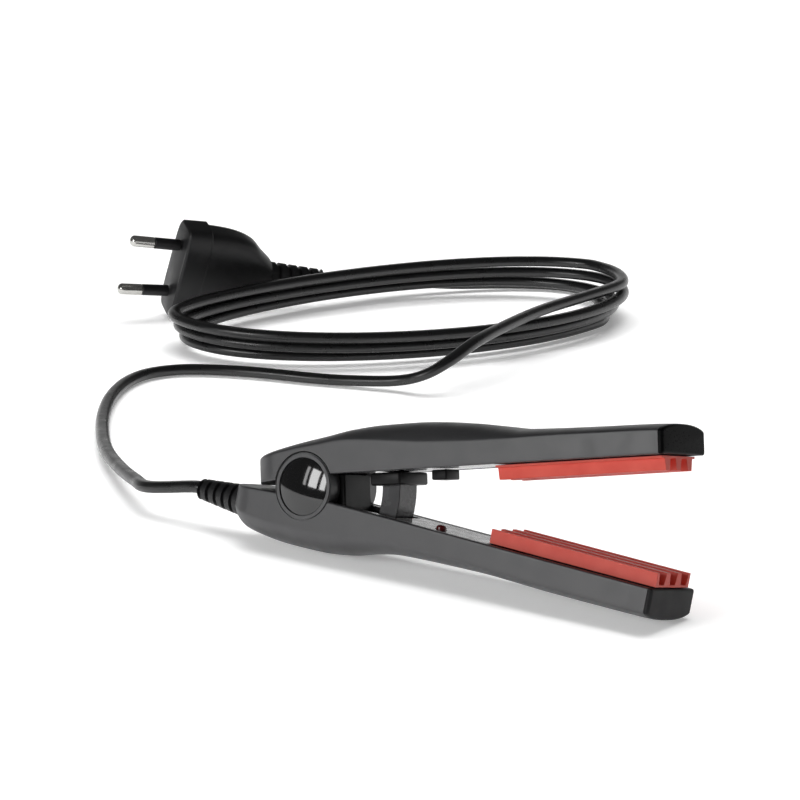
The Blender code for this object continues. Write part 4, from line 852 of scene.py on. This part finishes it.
# %% [markdown]
# The plug is the flat two pin kind, standing on its narrow edge among the loops. Its body is a rounded
# block that narrows to the cord. Each section is a superellipse, |y/a|^n + |z/b|^n = 1, whose power
# falls from a boxy 5 at the face to a rounder 2.6 at the cord. Straight runs shape the bead round the
# face and the step behind it, and a smooth curve shapes the taper.

# %% Plug axes and body
PLUG_PLACE = np.array((-0.2487, 0.1885, 0.0188))
PLUG_TURN = (turn_about("Z", math.radians(55.1)) @ turn_about("X", math.radians(19))
             @ turn_about("Y", math.radians(9)))


def in_plug(points):
    """World place of points in the plug's own axes, with X from the face to the cord."""
    return PLUG_PLACE + np.asarray(points, float) @ PLUG_TURN.T


PLUG_LENGTH, PLUG_TALL, PLUG_WIDE, STEP_END = 34.5 * MM, 17.65 * MM, 6.85 * MM, 0.27
PLUG_SLEEVE_LENGTH, SMALL_GAP = 20.5 * MM, 0.3 * MM
PLUG_TALLS = np.array([(0, 0.955), (0.006, 0.975), (0.02, 1.0), (0.25, 1.0), (0.27, 0.94), (0.45, 0.91),
                       (0.62, 0.85), (0.76, 0.74), (0.88, 0.53), (1.0, 0.33)])
PLUG_WIDES = np.array([(0, 0.92), (0.006, 0.96), (0.02, 1.0), (0.25, 1.0), (0.27, 0.96), (0.62, 0.93),
                       (0.76, 0.90), (0.88, 0.84), (1.0, 0.74)])
share = np.concatenate([np.linspace(0, 0.02, 6), np.linspace(0.03, 0.24, 12), np.linspace(0.25, 0.27, 5),
                        np.linspace(0.28, 1.0, 60)])
tall, wide = (np.interp(share, t[:, 0], t[:, 1]) for t in (PLUG_TALLS, PLUG_WIDES))
taper = share > STEP_END
for sizes, table in ((tall, PLUG_TALLS), (wide, PLUG_WIDES)):
    sizes[taper] = curve_through(table[table[:, 0] >= STEP_END], share[taper])
power = np.interp(share, [0, 0.5, 1], [5.0, 4.2, 2.6])[:, None]
angle = np.linspace(0, 2 * math.pi, 120, endpoint=False)[None]
ring_y = PLUG_WIDE * wide[:, None] * np.sign(np.cos(angle)) * np.abs(np.cos(angle)) ** (2 / power)
ring_z = PLUG_TALL * tall[:, None] * np.sign(np.sin(angle)) * np.abs(np.sin(angle)) ** (2 / power)
ring_x = np.broadcast_to(PLUG_LENGTH * share[:, None], ring_y.shape)
plug = skin("plug_moulding", in_plug(np.stack([ring_x, ring_y, ring_z], -1)), plug_pvc)
settle(plug, "lower_arm", "plug_body")
sleeve_line = sleeve_profile(PLUG_LENGTH + SMALL_GAP, 1, PLUG_SLEEVE_LENGTH, root=4.6 * MM, end=2.9 * MM)
plug_sleeve = turned("plug_cord_sleeve", sleeve_line, plug_pvc, in_plug, axis="X", sides=56, smooth_deg=50)
settle(plug_sleeve, "lower_arm", "plug_relief")
print("plug in mm", round(PLUG_LENGTH / MM, 1), "long,", round(2 * PLUG_TALL / MM, 1), "tall,",
      round(2 * PLUG_WIDE / MM, 1), "wide")

# %% [markdown]
# The pins lean a little towards each other, as on every such plug: they stand 18.6 mm apart at the face
# and 17.5 mm at their ends. The half near the plug wears a black sleeve, and the rest is bare metal with
# a rounded end.

# %% Pins and sleeves
PIN_RADIUS, PIN_CORE, PIN_TIP, PIN_LENGTH, PIN_DOME = 2.0 * MM, 1.2 * MM, 0.03 * MM, 19.0 * MM, 1.6 * MM
PIN_SPREAD, PIN_LEAN = 9.3 * MM, math.atan2(0.55 * MM, 19.0 * MM)
SLEEVE_END, SLEEVE_BORE, CHAMFER, SEATED = 10.0 * MM, 1.5 * MM, 0.15 * MM, 1.0 * MM
plug_pieces = [plug, plug_sleeve]
bend = np.linspace(0, math.pi / 2, 10)[:-1]
pin_end = np.stack([PIN_RADIUS * np.cos(bend), PIN_DOME - PIN_LENGTH - PIN_DOME * np.sin(bend)], -1)
bare_start = SLEEVE_END + SMALL_GAP
pin_profile = np.concatenate([[(PIN_CORE, -SEATED), (PIN_CORE, -bare_start),
                               (PIN_RADIUS - CHAMFER, -bare_start), (PIN_RADIUS, -bare_start - CHAMFER)],
                              pin_end, [(PIN_TIP, -PIN_LENGTH)]])
sleeve_line = [(SLEEVE_BORE, -2 * SMALL_GAP), (PIN_RADIUS, -2 * SMALL_GAP),
               (PIN_RADIUS, CHAMFER - SLEEVE_END), (PIN_RADIUS - CHAMFER, -SLEEVE_END),
               (SLEEVE_BORE, -SLEEVE_END)]
for word, side in (("top", 1), ("bottom", -1)):
    tilt = turn_about("Y", side * PIN_LEAN)

    def in_pin(points, tilt=tilt, side=side):
        """Pin axes: the pin runs towards -X from its seat in the plug's face."""
        return in_plug(np.asarray(points, float) @ tilt.T + (0, 0, side * PIN_SPREAD))

    pin = turned("pin_" + word, pin_profile, nickel_plate, in_pin, axis="X", sides=48)
    settle(pin, "lower_arm", "plug_contact_" + word)
    sleeve = turned("pin_sleeve_" + word, sleeve_line, plug_pvc, in_pin, axis="X", sides=48)
    settle(sleeve, "lower_arm", "contact_sleeve_" + word)
    plug_pieces += [pin, sleeve]
print("pins in mm", round(PIN_LENGTH / MM, 1), "long,", round(2 * PIN_SPREAD / MM, 1), "apart at the face")

# %% [markdown]
# The loops of the cord lie slack on one another. Each is a long egg, and it drifts a little from turn to
# turn as a hand lays it down. Blender's own spiral would be round and even. An ellipse whose half lengths
# drift gives the photograph's outline, and one more term widens its far side at one end.

# %% Cord loops
COIL_CENTRE, COIL_HEADING, COIL_START = np.array((-0.1761, 0.2227)), math.radians(57.3), math.radians(-22)
COIL_TURNS, COIL_TOP, COIL_DROP, COIL_EGG_SHARE = 3, 14.6 * MM, 4.1 * MM, 0.22
COIL_HALF_LENGTHS, COIL_BACKS = (82.5, 81.5, 78.5, 77.0), (34.0, 35.0, 40.0, 44.0)
COIL_FRONTS, TURN_POINTS = (50.0, 53.0, 48.0, 42.0), 24


def coil_line(turns):
    """Loops: an ellipse whose half length and half widths drift from turn to turn, with a wider far
    side at one end (the egg), turned by the heading, and sinking by one drop a turn."""
    angle = COIL_START + 2 * math.pi * turns
    c, s = np.cos(angle), np.sin(angle)
    reach, back, front = (np.interp(turns, range(4), sizes) * MM for sizes in
                          (COIL_HALF_LENGTHS, COIL_BACKS, COIL_FRONTS))
    along, across = reach * c, np.where(s > 0, back * (1 + COIL_EGG_SHARE * c), front) * s
    ch, sh = math.cos(COIL_HEADING), math.sin(COIL_HEADING)
    return np.stack([COIL_CENTRE[0] + along * ch - across * sh, COIL_CENTRE[1] + along * sh + across * ch,
                     COIL_TOP - COIL_DROP * turns], -1)


coil = coil_line(np.linspace(0, COIL_TURNS, COIL_TURNS * TURN_POINTS + 1))
print("loops", COIL_TURNS, "with", len(coil), "points, the widest", 2 * max(COIL_HALF_LENGTHS), "mm long")

# %% [markdown]
# The cord is one length of flat cable, 1.74 m long: from the sleeve on the crimper it falls to the table,
# turns back, humps over the coil, goes round it three times and ends in the plug. Its route is the frame's
# own: listed points with a smooth curve through them, and the loops between. A real cable can't turn a
# corner, so where the loops begin and end each point is averaged with its neighbours, a quarter, a half and a
# quarter: forty times where the lead comes in and eight times at the tail.

# %% Cord route
CORD_WIDE, CORD_THICK = 4.4 * MM, 3.7 * MM
LEAD_ROUTE = ((-0.1025, -0.0043, 0.0086), (-0.1135, 0.0027, 0.0072), (-0.1305, 0.0157, 0.0054),
              (-0.1500, 0.0327, 0.0038), (-0.1688, 0.0532, 0.0026), (-0.1835, 0.0717, 0.0022),
              (-0.1945, 0.0887, 0.0022), (-0.2017, 0.1045, 0.0022), (-0.2035, 0.1177, 0.0022),
              (-0.1985, 0.1282, 0.0022), (-0.1885, 0.1352, 0.0022), (-0.1744, 0.1409, 0.0022),
              (-0.1555, 0.1457, 0.0022), (-0.1430, 0.1500, 0.0024), (-0.1275, 0.1545, 0.0038),
              (-0.1170, 0.1562, 0.0072), (-0.1112, 0.1625, 0.0118), (-0.1105, 0.1750, 0.0152),
              (-0.1130, 0.1945, 0.0160), (-0.1160, 0.2200, 0.0160), (-0.1165, 0.2450, 0.0156))
TAIL_ROUTE = ((-0.1515, 0.3052, 0.0023), (-0.1756, 0.2987, 0.0023), (-0.1943, 0.2795, 0.0032),
              (-0.2087, 0.2579, 0.0066))
SPAN_POINTS, STRAIGHT_RUN, COIL_LEAD_IN = 6, 3.4 * MM, 0.28


def curve_points(points):
    """Catmull and Rom's curve: between two points it is half of 2b + (c - a)t + (2a - 5b + 4c - d)t^2 +
    (3b - a - 3c + d)t^3, with the neighbours a and d."""
    p = np.asarray(points, float)
    p = np.vstack([2 * p[0] - p[1], p, 2 * p[-1] - p[-2]])
    a, b, c, d = p[:-3, None], p[1:-2, None], p[2:-1, None], p[3:, None]
    t = np.linspace(0, 1, SPAN_POINTS, endpoint=False)[None, :, None]
    spans = (2 * b + (c - a) * t + (2 * a - 5 * b + 4 * c - d) * t ** 2
             + (3 * b - a - 3 * c + d) * t ** 3) / 2
    return np.vstack([spans.reshape(-1, 3), p[-2]])


def soften(line, middle, rounds, reach=15):
    """Average the points within reach of the middle one with their neighbours, round after round."""
    for _ in range(rounds):
        near = line[middle - reach - 1:middle + reach + 2]
        line[middle - reach:middle + reach + 1] = (near[:-2] + 2 * near[1:-1] + near[2:]) / 4


relief_end = in_lower((RELIEF_START - RELIEF_LENGTH - SMALL_GAP, 0, RELIEF_LEVEL))
plug_end = in_plug((PLUG_LENGTH + PLUG_SLEEVE_LENGTH + 2 * SMALL_GAP, 0, 0))
lead = [relief_end, relief_end + LOWER_TURN @ (-STRAIGHT_RUN, 0, 0), *LEAD_ROUTE,
        coil[0] - (coil[1] - coil[0]) * COIL_LEAD_IN]
tail = [*TAIL_ROUTE, plug_end + PLUG_TURN @ (STRAIGHT_RUN, 0, 0), plug_end]
route = curve_points(np.vstack([lead, coil, tail]))
soften(route, len(lead) * SPAN_POINTS, rounds=40)
soften(route, (len(lead) + len(coil) - 1) * SPAN_POINTS, rounds=8)
route_length = float(np.linalg.norm(np.diff(route, axis=0), axis=1).sum())
print("cord", len(route), "points,", round(route_length, 3), "m, lowest centre in mm",
      round(float(route[:, 2].min()) * 1000, 2))

# %% [markdown]
# The section of a flat two core cable is two round cores side by side under one sheath. It is carried
# along the route with its width kept level, because such a cable lies on its flat. Across the route, the
# side direction is tangent x up, and the section's own up is side x tangent.

# %% Cord skin
WAIST_DEPTH, WAIST_SPREAD = 0.07, 0.35


def cable(name, line, wide, thick, material, around=28):
    """Tube of a flat section: radius half thickness about two centres that stand (wide - thick) apart,
    with a faint waist between them. UV: metres along, share of the way round."""
    tangent = np.gradient(line, axis=0)
    tangent /= np.linalg.norm(tangent, axis=1)[:, None]
    side = np.cross(tangent, (0.0, 0.0, 1.0))
    side /= np.linalg.norm(side, axis=1)[:, None]
    lift = np.cross(side, tangent)
    angle = np.linspace(0, 2 * math.pi, around, endpoint=False)
    offset = (wide - thick) / 2
    across = thick / 2 * np.cos(angle) + offset * np.tanh(3 * np.cos(angle))
    waist = WAIST_DEPTH * np.exp(-(across / (WAIST_SPREAD * thick)) ** 2)
    height = thick / 2 * np.sin(angle) * (1 - waist)
    grid = line[:, None] + side[:, None] * across[None, :, None] + lift[:, None] * height[None, :, None]
    thing = skin(name, grid, material, smooth_deg=60)
    run = np.concatenate([[0], np.cumsum(np.linalg.norm(np.diff(line, axis=0), axis=1))])
    uv = thing.data.uv_layers.new(name="run")
    loops = np.zeros(len(thing.data.loops), np.int32)
    thing.data.loops.foreach_get("vertex_index", loops)
    uv.data.foreach_set("uv", np.stack([run[loops // around], (loops % around) / around], -1).ravel())
    return thing


cord = cable("mains_cord", route, CORD_WIDE, CORD_THICK, cable_pvc)
settle(cord, "lower_arm", "cord_coil", "cord_lead", "cord_coil", "cord_tail")
print("cord skin", len(cord.data.polygons), "faces")

# %% [markdown]
# The table is a plain white sweep. It could be made white with stronger lamps, but they would wash out
# the crimper. So the camera, mirror and glass rays find a little glow and a whiter paper in it, while its
# matte part takes the soft shadow.

# %% Table
TABLE_HALF, TABLE_POINTS, TABLE_LEVEL, FLOOR_GLOW = 3.0, 25, -0.05 * MM, 0.25


def reckon(tree, operation, a, b):
    """One operation of the Math node on two values."""
    return add_node(tree, "ShaderNodeMath", {"operation": operation}, {0: a, 1: b}).outputs[0]


def stage_white():
    """White matte floor. The largest of the camera, glossy and transmission flags is 1 for the rays that
    look at it: it scales the glow and picks the whiter paper, and soft light bounces off a greyer one."""
    material, tree, shader = new_material("white_paper_sweep", Roughness=0.9, Specular_IOR_Level=0.2)
    rays = add_node(tree, "ShaderNodeLightPath").outputs
    seen = reckon(tree, "MAXIMUM", rays["Is Camera Ray"], rays["Is Glossy Ray"])
    seen = reckon(tree, "MAXIMUM", seen, rays["Is Transmission Ray"])
    tree.links.new(reckon(tree, "MULTIPLY", seen, FLOOR_GLOW), shader.inputs["Emission Strength"])
    paper = add_node(tree, "ShaderNodeMix", {"data_type": "RGBA"},
                     {"Factor": seen, 6: linear("#BDBDBD"), 7: linear("#F4F4F4")})
    tree.links.new(paper.outputs[2], shader.inputs["Base Color"])
    shader.inputs["Emission Color"].default_value = (1, 1, 1, 1)
    return material


def table_sweep():
    """Flat grid of quads just under the pieces."""
    side = np.linspace(-TABLE_HALF, TABLE_HALF, TABLE_POINTS)
    level = np.full((TABLE_POINTS, TABLE_POINTS), TABLE_LEVEL)
    points = np.stack(np.meshgrid(side, side, indexing="ij") + [level], -1)
    index = np.arange(TABLE_POINTS ** 2).reshape(TABLE_POINTS, TABLE_POINTS)
    faces = np.stack([index[:-1, :-1], index[1:, :-1], index[1:, 1:], index[:-1, 1:]], -1).reshape(-1, 4)
    mesh = bpy.data.meshes.new("table")
    mesh.from_pydata(points.reshape(-1, 3).tolist(), [], faces.tolist())
    mesh.materials.append(stage_white())
    return put("table", mesh)


table = table_sweep()
print("table", 2 * TABLE_HALF, "m wide with a glow of", FLOOR_GLOW)

# %% [markdown]
# The backdrop is white the same way: all of it for the camera, and for mirrors and glass only low behind
# the crimper, where a real paper backdrop stands. A bent white sheet could stand there, but it would also
# throw light over the crowns. Above the paper the room is dark, which keeps the crowns dark.

# %% Backdrop
ROOM_LEVEL, PAPER_EDGE_HIGH, PAPER_EDGE_NEAR = 0.10, (0.16, 0.30), (-0.1, 0.2)


def studio_world():
    """White for the camera, and for mirror and glass rays by the share low x behind. Low falls from 1 to 0
    between the heights of the paper's upper edge, and behind rises from 0 to 1 past its near edge. Every
    other ray finds the room's level."""
    world = bpy.data.worlds.new("studio")
    world.use_nodes = True
    tree = world.node_tree
    rays = add_node(tree, "ShaderNodeLightPath").outputs
    way = add_node(tree, "ShaderNodeSeparateXYZ", {},
                   {0: add_node(tree, "ShaderNodeTexCoord").outputs["Generated"]}).outputs
    low = add_node(tree, "ShaderNodeMapRange", {}, {
        "Value": way["Z"], "From Min": PAPER_EDGE_HIGH[0], "From Max": PAPER_EDGE_HIGH[1], "To Min": 1.0,
        "To Max": 0.0}).outputs["Result"]
    behind = add_node(tree, "ShaderNodeMapRange", {}, {
        "Value": way["Y"], "From Min": PAPER_EDGE_NEAR[0], "From Max": PAPER_EDGE_NEAR[1]}).outputs["Result"]
    mirrored = reckon(tree, "MAXIMUM", rays["Is Glossy Ray"], rays["Is Transmission Ray"])
    mirrored = reckon(tree, "MULTIPLY", mirrored, reckon(tree, "MULTIPLY", low, behind))
    seen = reckon(tree, "MAXIMUM", rays["Is Camera Ray"], mirrored)
    level = add_node(tree, "ShaderNodeMapRange", {}, {"Value": seen, "To Min": ROOM_LEVEL, "To Max": 1.0})
    tree.links.new(level.outputs["Result"], tree.nodes["Background"].inputs["Strength"])
    tree.nodes["Background"].inputs["Color"].default_value = (1, 1, 1, 1)
    return world


bpy.context.scene.world = studio_world()
print("room level", ROOM_LEVEL)

# %% [markdown]
# The bright bars in the hinge cap show what lit the photograph: three upright soft boxes side by side,
# low in front and a little to the left. One wide box would light the flanks alike but mirror as a single
# patch. A last wide box overhead is linked to the table alone. It gives the paper its white and the soft
# shadow right under the arms.

# %% Lamps
def soft_lamp(name, place, target, size, radiance, shift=0.0):
    """Rectangular soft box, moved sideways by a shift. Its power is radiance times pi times its area."""
    data = bpy.data.lights.new(name, "AREA")
    data.shape, data.size, data.size_y = "RECTANGLE", size[0], size[1]
    data.energy = radiance * math.pi * size[0] * size[1]
    thing = put(name, data)
    thing.matrix_world = facing(place, target) @ Matrix.Translation((shift, 0, 0))
    return thing


CRIMPER, FRONT_PLACE = (0.02, 0.0, 0.02), (-0.54, -1.46, 0.56)
for name, shift, wide, radiance in (("left_strip", -0.368, 0.11, 4.2), ("middle_strip", -0.046, 0.32, 9.4),
                                    ("right_strip", 0.327, 0.20, 9.4)):
    strip = soft_lamp(name, FRONT_PLACE, CRIMPER, (wide, 0.54), radiance, shift)
    print(name, "power in watts", round(strip.data.energy, 2))
top_box = soft_lamp("table_soft_box", (-0.12, 0.32, 1.85), (-0.05, 0.08, 0.0), (1.90, 1.50), 4.3)
table_only = bpy.data.collections.new("table_only")
table_only.objects.link(table)
top_box.light_linking.receiver_collection = table_only

bpy.context.scene.view_settings.view_transform = "Standard"
